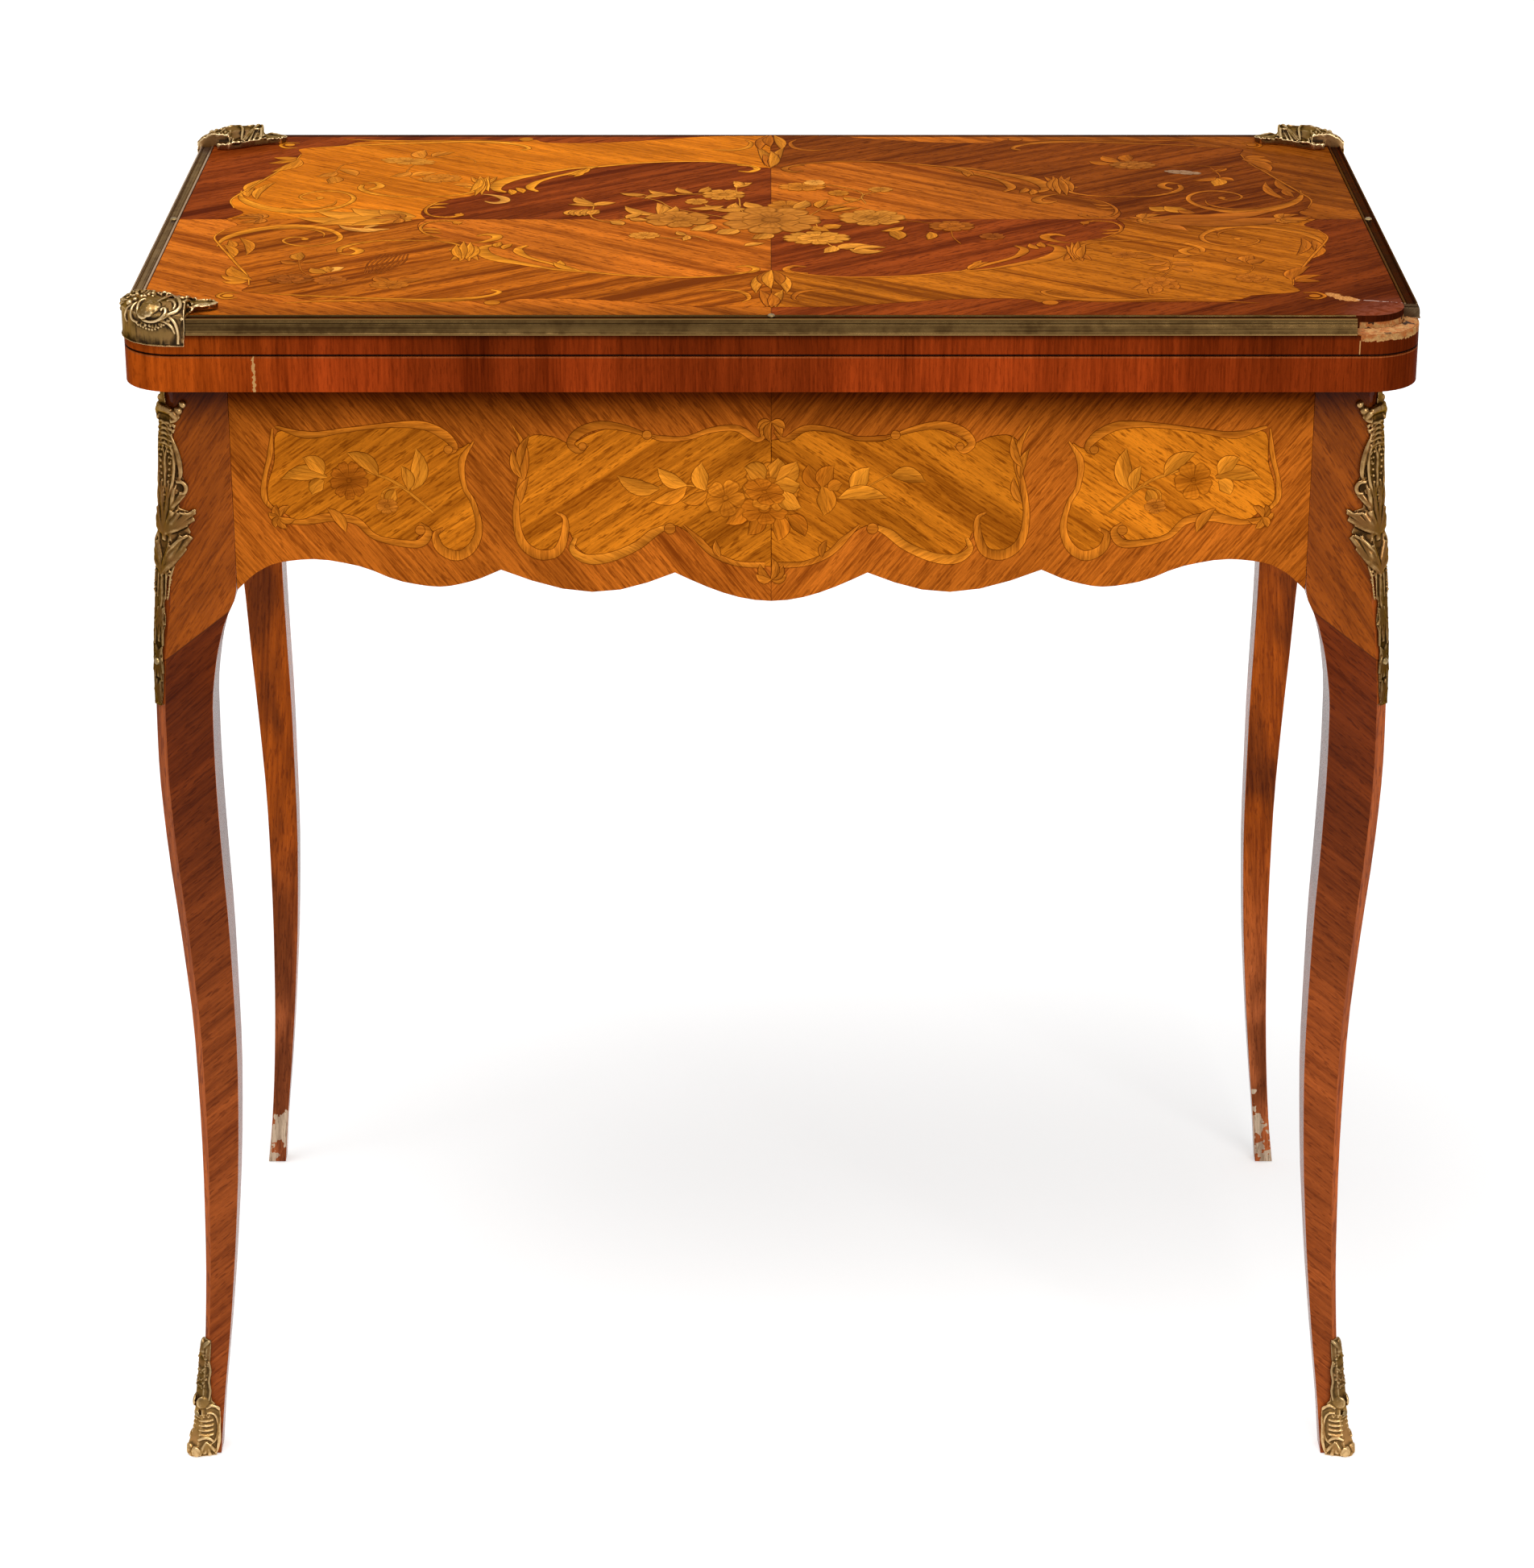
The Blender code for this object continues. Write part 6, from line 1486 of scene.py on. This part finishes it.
def cast_mount():
    cast = Casting("mount_front_left", 11, (-1, -1, 1.4), 1.0, MOUNT_LIMIT)
    for u, v, size, squash in [(183, 384, 5.6, 0.42), (190, 381, 5.0, 0.42), (178, 388, 4.2, 0.42)]:
        cast.bead(u, v, size, squash, -0.2)
    cast.rod([(181, 371), (174, 375), (171, 383), (173, 392), (181, 398), (191, 399), (200, 395), (206, 389),
              (204, 383), (199, 386)], [0.5, 0.8, 0.9, 0.9, 0.9, 0.9, 1.0, 1.3, 1.2, 0.7], 1.1, 0.4)
    cast.rod([(174, 374), (166, 379), (163, 388), (165, 397), (171, 400)],
             [0.6, 0.9, 1.0, 0.9, 0.6], 1.0, 0.2)
    cast.rod([(167, 377), (159, 382), (156, 391), (158, 399)], [0.6, 0.9, 0.9, 0.5], 1.0, 0.2)
    cast.rod([(196, 375), (205, 371), (214, 369), (222, 373), (224, 381), (219, 387), (209, 391), (200, 397)],
             [0.6, 0.9, 1.1, 1.2, 1.2, 1.1, 1.0, 0.6], 1.1, 0.4)
    cast.rod([(207, 374), (214, 374), (218, 379), (215, 384)], [0.4, 0.8, 0.9, 0.6], 1.0, 0.2)
    cast.rod([(226, 376), (232, 373), (238, 377), (238, 385), (231, 392), (224, 397)],
             [0.6, 0.9, 1.2, 1.2, 1.1, 0.8], 1.0, 0.3)
    cast.bead(232, 380, 1.6, 0.8)
    cast.bead(161, 376, 2.0, 0.9, 0.2)
    cast.bead(168, 372, 1.5, 0.9, 0.2)
    cast.bead(176, 368, 1.2, 0.9, 0.2)
    cast.ragged([(150, 378), (160, 368), (172, 364), (186, 361), (198, 360), (212, 362), (224, 361),
                 (236, 365)], 34, 1.0, 2.5)
    cast.ragged([(178, 367), (190, 366), (205, 366), (222, 368), (238, 370)], 18, 0.9, 2.0)
    cast.ragged([(146, 384), (152, 374), (162, 364), (176, 359)], 14, 0.9, 2.0)
    cast.ragged([(232, 366), (246, 368), (258, 371), (268, 374)], 16, 0.8, 1.6)
    cast.ragged([(172, 402), (182, 406), (192, 406), (203, 401), (212, 396)], 15, 0.7, 1.5)
    cast.beads([(170, 401), (178, 406), (189, 409), (200, 405), (209, 400)], 0.65, 4.0)
    cast.rod([(208, 392), (215, 398), (219, 406), (221, 416), (221, 427)],
             [0.8, 1.0, 0.9, 0.8, 0.6], 0.9, 0.1)
    cast.rod([(198, 398), (206, 400), (213, 406), (217, 414)], [0.7, 0.9, 0.8, 0.4], 0.9, 0.1)
    cast.rod([(236, 384), (246, 380), (258, 378), (268, 376)], [1.2, 1.6, 1.4, 0.8], 0.7, -0.2)
    cast.rod([(238, 378), (250, 376), (262, 377), (270, 376)], [2.4, 2.7, 2.2, 1.0], 0.7, -0.8)
    return cast.finish(44000)


def cast_chute():
    cast = Casting("chute_left", 12, (-1, -1, 0), 0.8, CHUTE_LIMIT, twin=True)
    cast.bead(190, 501, 3.0, 0.9, 0.3)
    cast.bead(196, 493, 2.6, 0.9, 0.2)
    cast.rod([(190, 512), (197, 507), (206, 507), (214, 512), (218, 520), (212, 523)],
             [1.6, 2.2, 2.6, 2.6, 2.2, 1.2], 0.9, 0.6)
    for step in range(5):
        v = 524 + 6 * step
        cast.rod([(190, v), (198, v - 3 + step), (207, v + 2), (212, v + 10)], [0.7, 0.9, 0.9, 0.5], 0.9, 0.2)
    cast.beads([(205, 548), (209, 560), (211, 575), (210, 590), (208, 606), (205, 622), (203, 638),
                (200, 655)], 0.95, 8.5)
    cast.rod([(199, 545), (204, 560), (206, 580), (205, 600), (202, 620), (199, 640), (196, 665)],
             [0.6, 0.8, 0.8, 0.8, 0.8, 0.7, 0.5], 1.0, 0.2)
    cast.rod([(208, 545), (214, 560), (216, 580), (214, 600), (210, 620), (206, 640), (202, 665)],
             [0.6, 0.9, 1.0, 1.0, 0.9, 0.7, 0.5], 1.0, 0.2)
    cast.beads([(191, 538), (191, 565), (192, 590)], 0.6, 5.0)
    cast.beads([(194, 615), (193, 640), (194, 665), (195, 690), (193, 712), (191, 736)], 0.75, 4.6)
    cast.rod([(197, 610), (197, 640), (198, 670), (198, 700), (196, 740)],
             [0.5, 0.7, 0.7, 0.7, 0.4], 1.0, 0.1)
    cast.rod([(190, 610), (190, 640), (190, 670), (190, 700), (189, 740)],
             [0.5, 0.7, 0.7, 0.7, 0.4], 1.0, 0.1)
    for low, high in (((192, 560), (197, 556)), ((192, 575), (198, 569)), ((193, 590), (199, 584)),
                      ((193, 604), (199, 597))):
        cast.rod([low, high], [0.5, 0.8, 0.5], 1.0, 0.2)
    cast.rod([(214, 545), (219, 560), (223, 576), (224, 590), (220, 598)],
             [0.8, 1.6, 1.9, 1.7, 0.8], 0.8, 0.2)
    cast.rod([(218, 598), (226, 598), (231, 604), (229, 612), (222, 612)],
             [1.0, 1.5, 1.7, 1.5, 0.8], 1.0, 0.4)
    cast.shell((212, 632), [(216, 606), (224, 614), (230, 612)], 1.5, 0.1)
    cast.shell((205, 662), [(214, 634), (222, 637), (232, 637), (242, 634), (241, 643), (232, 650)], 2.3, 0.0)
    cast.rod([(222, 636), (233, 638), (243, 632)], [0.8, 1.0, 0.8], 1.0, 0.8)
    cast.shell((201, 712), [(212, 676), (226, 665), (237, 665), (230, 679), (216, 694)], 2.5, 0.0)
    cast.rod([(210, 600), (209, 620), (206, 645), (204, 670)], [1.5, 2.5, 2.5, 2.0], 0.8, -0.4)
    cast.rod([(202, 715), (211, 684), (221, 671), (233, 664)], [0.6, 1.2, 1.4, 1.0], 1.0, 0.8)
    cast.rod([(203, 700), (201, 725), (200, 750), (203, 772)], [0.8, 0.9, 0.8, 0.6], 1.0, 0.2)
    for tip in ((205, 776), (200, 778), (198, 796), (193, 798)):
        cast.rod([(197, 752), tip], [0.6, 1.1, 0.8], 0.9, 0.3)
    for tip in ((203, 836), (198, 840), (193, 842)):
        cast.rod([(194, 800), ((tip[0] + 194) / 2 + 2, 818), tip], [0.6, 1.3, 0.8], 0.9, 0.2)
    for tip in ((201, 872), (198, 876), (195, 866)):
        cast.rod([(195, 842), tip], [0.8, 1.3, 0.6], 0.9, 0.2)
    cast.ragged([(192, 505), (198, 530), (205, 545)], 12, 0.7, 3.0)
    cast.ragged([(216, 560), (222, 590), (215, 640)], 12, 0.7, 3.0)
    return cast.finish(44000)


def cast_sabot():
    cast = Casting("sabot_left", 13, (-1, -1, 0.2), 0.5, SABOT_LIMIT, twin=True)
    cast.rod([(261, 1664), (255, 1669), (251, 1676), (254, 1683)], [0.8, 1.8, 2.2, 1.0], 0.7, 0.3)
    cast.ragged([(256, 1686), (254, 1700), (252, 1715), (252, 1726)], 22, 0.8, 4.0)
    cast.rod([(259, 1690), (261, 1702), (259, 1714), (261, 1726), (259, 1738)],
             [0.8, 1.0, 0.9, 1.0, 0.7], 1.0, 0.3)
    cast.bead(252, 1741, 4.6, 0.35, -0.2)
    cast.rod([(256, 1748), (263, 1744), (271, 1747), (277, 1756), (280, 1769), (279, 1783), (274, 1795),
              (267, 1803)], [0.9, 1.2, 1.3, 1.4, 1.5, 1.4, 1.2, 0.8], 1.0, 0.3)
    cast.rod([(257, 1754), (265, 1754), (270, 1762), (271, 1774), (268, 1786), (262, 1792)],
             [0.6, 0.9, 1.0, 1.0, 0.9, 0.6], 1.0, 0.3)
    for step in range(4):
        v = 1763 + 6 * step
        cast.rod([(247, v), (256, v + 1), (265, v - 1)], [0.5, 0.9, 0.6], 0.9, 0.2)
    cast.rod([(246, 1788), (254, 1784), (262, 1786), (266, 1790)], [0.8, 1.4, 1.3, 0.8], 0.9, 0.3)
    cast.bead(236, 1797, 3.9, 0.75, 0.0)
    cast.bead(239, 1803, 3.0, 0.75, 0.0)
    for tip in ((247, 1806), (254, 1808), (261, 1806), (267, 1800)):
        cast.rod([(256, 1790), tip], [0.9, 1.6, 1.4], 0.9, 0.2)
    cast.ragged([(246, 1756), (254, 1758), (262, 1760)], 8, 0.7, 2.5)
    cast.beads([(275, 1762), (276, 1775), (273, 1788)], 0.6, 5.0)
    return cast.finish(30000)


# The hollows, the two tones of the flats, and the worn gold of the raised relief, which is also painted
# highlight
CAST_TONES = (0.022, 0.012, 0.006), (0.225, 0.116, 0.044), (0.172, 0.097, 0.030), (0.58, 0.41, 0.21)
CAST_TINT = (0.62, 0.52, 0.38, 1)
CHUTE_ZONE = (0.540, 0.605, 0.50, 1.0)
SABOT_ZONE = (0.030, 0.044, 1.12, 0.55)


def cast_material(name, tint, soft=0.0, zone=None):
    """Bronze casting: near black in its hollows, olive brown on its flats, gold on its raised relief, which
    is worn gilding and painted highlight.

    A soft one has less contrast. A zone holds two heights, and the casting's level at each.
    """
    shader = Shader(name, metallic=1.0)
    shader.set("Specular Tint", CAST_TINT)
    place = shader.place()
    spots = shader.noise(place, 190.0, 4.0, 0.65)
    clouds = shader.noise(place, 34.0, 3.0)
    height = shader.attribute("relief", "Fac") + (spots - 0.5) * 0.55
    deep, brown, olive, rubbed_and_highlit = (np.multiply(tint, tone) for tone in CAST_TONES)
    deep, rubbed_and_highlit = deep + soft * (olive - deep), rubbed_and_highlit + soft * (olive - rubbed_and_highlit)
    deep, brown, olive, rubbed_and_highlit = (tuple(tone.tolist()) for tone in (deep, brown, olive, rubbed_and_highlit))
    flats = shader.mix(clouds.step(0.38, 0.62), olive, brown)
    low = shader.mix(height.step(0.06, 0.44), deep, flats)
    # Gold on the raised relief: worn gilding and painted highlight
    colour = shader.mix(height.step(0.54, 1.0), low, rubbed_and_highlit)
    if zone:
        colour = shader.times(colour, shader.split(place)[2].step(*zone))
    shader.bump(spots, 0.00025, 0.4)
    return shader.finish(colour, height.step(0.2, 0.8, 0.46, 0.22))


def cast_all():
    """Each casting is modelled once, at the front left, and mirrored for its other places."""
    mount, bronze = cast_mount(), cast_material("mount_bronze", (1.0, 1.0, 1.0))
    place_casting(mount, "mount_front_left", "upper_top", bronze)
    place_casting(mount, "mount_rear_left", "upper_top", bronze, mirror_y=True)
    place_casting(mount, "mount_rear_right", "upper_top", bronze, mirror_x=True, mirror_y=True)
    # The chute's copy of the bronze is darkened as painted shade, since the chute faces the lamps
    chute, bronze = cast_chute(), cast_material("chute_bronze", (0.66, 0.575, 0.46), 0.15, CHUTE_ZONE)
    place_casting(chute, "chute_left", "stand", bronze)
    place_casting(chute, "chute_right", "stand", bronze, mirror_x=True)
    sabot, bronze = cast_sabot(), cast_material("sabot_bronze", (1.38, 1.35, 1.30), 0.40, SABOT_ZONE)
    place_casting(sabot, "sabot_left", "stand", bronze)
    place_casting(sabot, "sabot_right", "stand", bronze, mirror_x=True)


cast_all()


# Baize linings and the bare corner

BAIZE_WIDTH = 0.666
BAIZE_LENGTH = 0.371
BAIZE_MIDDLE = 0.0105
BAIZE_CORNER = 0.004
BAIZE_CELL = 0.004
BAIZE_THICKNESS = 0.0007
BAIZE_RISE = 0.00006
LOWER_BAIZE_LEVEL = 0.73612
UPPER_BAIZE_LEVEL = 0.73658
BAIZE_GREEN = (0.016, 0.080, 0.030)
BAIZE_WORN = (0.030, 0.098, 0.038)


def baize_material():
    """Green woollen baize: a close nap with paler, worn patches."""
    shader = Shader("baize", 0.95, specular=0.15)
    shader.set("Sheen Weight", 0.10)
    shader.set("Sheen Roughness", 0.5)
    place = shader.place()
    nap = shader.noise(place, 1500.0, 3.0, 0.7)
    tufts = shader.noise(place, 330.0, 3.0, 0.6)
    worn = shader.noise(place, 9.0, 3.0).step(0.36, 0.72)
    light = (nap * 0.8 + tufts * 0.5).step(0.40, 0.90, 0.72, 1.30)
    shader.bump(nap + tufts, 0.0004, 0.6)
    return shader.finish(shader.times(shader.mix(worn, BAIZE_GREEN, BAIZE_WORN), light))


def rounded_grid(width, length, corner, cell):
    """Points of a rectangle with rounded corners, in a grid whose rim follows the outline."""
    columns, rows = int(width / cell), int(length / cell)
    points = np.zeros((rows + 1, columns + 1, 2))
    for j, y in enumerate(np.linspace(-length / 2, length / 2, rows + 1)):
        inset = max(0.0, abs(y) - (length / 2 - corner))
        half = width / 2 - corner + math.sqrt(max(0.0, corner ** 2 - inset ** 2))
        points[j, :, 0] = np.linspace(-half, half, columns + 1)
        points[j, :, 1] = y
    return points


def baize(name, body, low, face_up, material, seed):
    """A sheet glued flat on a leaf, with a nap that is never quite even."""
    source = random.Random(seed)
    grid = rounded_grid(BAIZE_WIDTH, BAIZE_LENGTH, BAIZE_CORNER, BAIZE_CELL)
    rows, columns = grid.shape[:2]
    waves = [(source.uniform(20, 120), source.uniform(0, 6.28), source.uniform(0, 3.14)) for _ in range(9)]
    verts = []
    for x, y in grid.reshape(-1, 2):
        rise = sum(math.sin(k * (x * math.cos(t) + y * math.sin(t)) + p) for k, p, t in waves) / len(waves)
        verts.append((x, y + BAIZE_MIDDLE, low + BAIZE_RISE * rise))
    faces = [(j * columns + i, j * columns + i + 1, (j + 1) * columns + i + 1, (j + 1) * columns + i)
             for j in range(rows - 1) for i in range(columns - 1)]
    mesh = bpy.data.meshes.new(name + "_cloth")
    mesh.from_pydata(verts, [], faces if face_up else [face[::-1] for face in faces])
    mesh.shade_smooth()
    piece = add_piece(name + "_cloth", mesh, material, body)
    thick = piece.modifiers.new("thickness", "SOLIDIFY")
    thick.thickness = BAIZE_THICKNESS
    thick.offset = -1.0
    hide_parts(name)


BAIZE = baize_material()
baize("baize_lower", "lower_top", LOWER_BAIZE_LEVEL, True, BAIZE, 4)
baize("baize_upper", "upper_top", UPPER_BAIZE_LEVEL, False, BAIZE, 9)


def bare_material():
    """Torn pale wood with rags of old glue and dirt."""
    shader = Shader("bare_wood", 0.8, specular=0.2)
    place = shader.place()
    ragged = shader.noise(place, (160.0, 160.0, 420.0), 4.0, 0.65)
    fibres = shader.noise(place, (200.0, 1600.0, 1600.0), 3.0, 0.6)
    stains = shader.noise(place, 90.0)
    colour = shader.mix(ragged.step(0.36, 0.62), BARE_ORANGE, BARE_TONE)
    colour = shader.times(colour, fibres.step(0.3, 0.7, 0.72, 1.25))
    shader.bump(fibres, 0.0005, 0.8)
    return shader.finish(shader.mix(stains.step(0.56, 0.62), colour, STAIN_TONE))


LEDGE_START_X, LEDGE_END_Y = 0.3275, -0.1690
LEDGE_RADIUS = 0.031
LEDGE_CORNER_X = TOP_HALF_WIDTH - LEDGE_RADIUS
LEDGE_CORNER_Y = LEDGE_RADIUS - TOP_HALF_DEPTH
LEDGE_DEPTH = 0.0088
LEDGE_EDGE = 0.0003
LEDGE_LEVEL = 0.74895
LEDGE_UNDERSIDE = 0.74885
LEDGE_ROWS = 9


def ledge_stations():
    """Places along the ledge's outline, each with the direction that points outwards."""
    stations = [(x, -TOP_HALF_DEPTH, 0.0, -1.0)
                for x in np.linspace(LEDGE_START_X, LEDGE_CORNER_X, 16, endpoint=False)]
    for angle in np.linspace(-math.pi / 2, 0, 40):
        nx, ny = math.cos(angle), math.sin(angle)
        stations.append((LEDGE_CORNER_X + LEDGE_RADIUS * nx, LEDGE_CORNER_Y + LEDGE_RADIUS * ny, nx, ny))
    for y in np.linspace(LEDGE_CORNER_Y, LEDGE_END_Y, 14)[1:]:
        stations.append((TOP_HALF_WIDTH, y, 1.0, 0.0))
    return stations


def bare_ledge():
    """Splintered wood left on the ledge where the fourth mount was torn off."""
    source = random.Random(21)
    stations = ledge_stations()
    rows = LEDGE_ROWS
    waves = [(source.uniform(120, 900), source.uniform(0, 6.28)) for _ in range(8)]
    top, bottom = [], []
    for number, (x, y, nx, ny) in enumerate(stations):
        lip = 0.0004 + 0.0011 * source.random()
        for row in range(rows):
            share = row / (rows - 1)
            depth = LEDGE_EDGE + lip * share ** 3 + (LEDGE_DEPTH - LEDGE_EDGE) * (1 - share)
            px, py = x - nx * depth, y - ny * depth
            bumps = sum(math.sin(k * (px + 0.7 * py) + p) for k, p in waves) / len(waves)
            ends = min(1.0, number / 3, (len(stations) - 1 - number) / 3)
            height = ends * (0.0009 + 0.0008 * bumps + 0.0005 * source.random()) * (1.25 - share)
            top.append((px, py, LEDGE_LEVEL + max(0.00002, height)))
            bottom.append((px, py, LEDGE_UNDERSIDE))
    count = len(top)
    faces = []
    for s in range(len(stations) - 1):
        for row in range(rows - 1):
            a, b = s * rows + row, (s + 1) * rows + row
            faces += [(a, a + 1, b + 1, b), (count + a, count + b, count + b + 1, count + a + 1)]
        for row in (0, rows - 1):
            a, b = s * rows + row, (s + 1) * rows + row
            faces.append((a, b, count + b, count + a))
    for s in (0, len(stations) - 1):
        row_above = [s * rows + row for row in range(rows)]
        faces.append(row_above + [count + corner for corner in reversed(row_above)])
    mesh = bpy.data.meshes.new("bare_ledge")
    mesh.from_pydata(top + bottom, [], faces)
    shape = bmesh.new()
    shape.from_mesh(mesh)
    bmesh.ops.recalc_face_normals(shape, faces=shape.faces)
    shape.to_mesh(mesh)
    add_piece("bare_ledge", mesh, bare_material(), "upper_top")


bare_ledge()


# Floor, light and camera

WHITE = (1, 1, 1, 1)
FLOOR_GREY = (0.86, 0.86, 0.86, 1)
FLOOR_REACH = 12.0
FLOOR_DROP = 0.0005
FLOOR_NEAR, FLOOR_FAR = 0.7, 2.2
GLOW_NEAR, GLOW_FAR = 0.48, 0.85
WORLD_LIGHT = 0.42
TARGET = (0, 0, 0.5)
LENS, SENSOR = 100.36, 36


def shown(builder):
    """1 where the camera, a mirror or glass sees the surface, and 0 where it only gives light."""
    path = builder.node("ShaderNodeLightPath").outputs
    rays = ("Is Camera Ray", "Is Glossy Ray", "Is Transmission Ray")
    return builder.largest(*(Value(builder, path[ray]) for ray in rays))


def studio_floor():
    """A pale floor that keeps the table's shadow and glows where it is seen."""
    mesh = bpy.data.meshes.new("floor")
    corners = [(x * FLOOR_REACH, y * FLOOR_REACH, 0) for x, y in ((-1, -1), (1, -1), (1, 1), (-1, 1))]
    mesh.from_pydata(corners, [], [(0, 1, 2, 3)])
    floor = bpy.data.objects.new("floor", mesh)
    floor.location = (0, 0, -FLOOR_DROP)
    bpy.context.scene.collection.objects.link(floor)
    shader = Shader("floor", 0.9, specular=0.0)
    shader.set("Base Color", FLOOR_GREY)
    distance = shader.value("ShaderNodeVectorMath", {0: shader.place()}, "Value", operation="LENGTH")
    strength = distance.step(FLOOR_NEAR, FLOOR_FAR, GLOW_NEAR, GLOW_FAR)
    glow = shader.value("ShaderNodeEmission", {"Color": WHITE, "Strength": strength})
    plain = Value(shader, shader.surface.outputs[0])
    glowing = shader.value("ShaderNodeAddShader", {0: plain, 1: glow})
    chosen = shader.value("ShaderNodeMixShader", {0: shown(shader), 1: plain, 2: glowing})
    shader.put(shader.tree.nodes["Material Output"].inputs["Surface"], chosen)
    mesh.materials.append(shader.material)


def studio_world():
    """Soft white light from all round, and plain white where the world itself shows."""
    world = bpy.data.worlds.new("studio")
    bpy.context.scene.world = world
    world.use_nodes = True
    builder = Nodes(world.node_tree)
    background = world.node_tree.nodes["Background"]
    builder.put(background.inputs["Strength"], builder.mix_value(shown(builder), WORLD_LIGHT, 1.0))
    builder.put(background.inputs["Color"], WHITE)


def softbox(name, place, width, height, power):
    data = bpy.data.lights.new(name, "AREA")
    data.shape = "RECTANGLE"
    data.size, data.size_y, data.energy = width, height, power
    lamp = bpy.data.objects.new(name, data)
    lamp.location = place
    lamp.rotation_euler = (Vector(TARGET) - Vector(place)).to_track_quat("-Z", "Y").to_euler()
    bpy.context.scene.collection.objects.link(lamp)


def camera():
    data = bpy.data.cameras.new("view")
    data.lens, data.sensor_width = LENS, SENSOR
    data.clip_start, data.clip_end = 0.05, 60
    view = bpy.data.objects.new("view", data)
    view.location = EYE
    view.rotation_euler = (TILT, 0, 0)
    bpy.context.scene.collection.objects.link(view)
    bpy.context.scene.camera = view


studio_floor()
studio_world()
softbox("key", (-0.45, -0.65, 2.75), 1.8, 1.4, 41)
softbox("fill", (1.2, -2.4, 1.5), 1.4, 1.4, 28)
camera()
bpy.context.scene.view_settings.view_transform = "Standard"
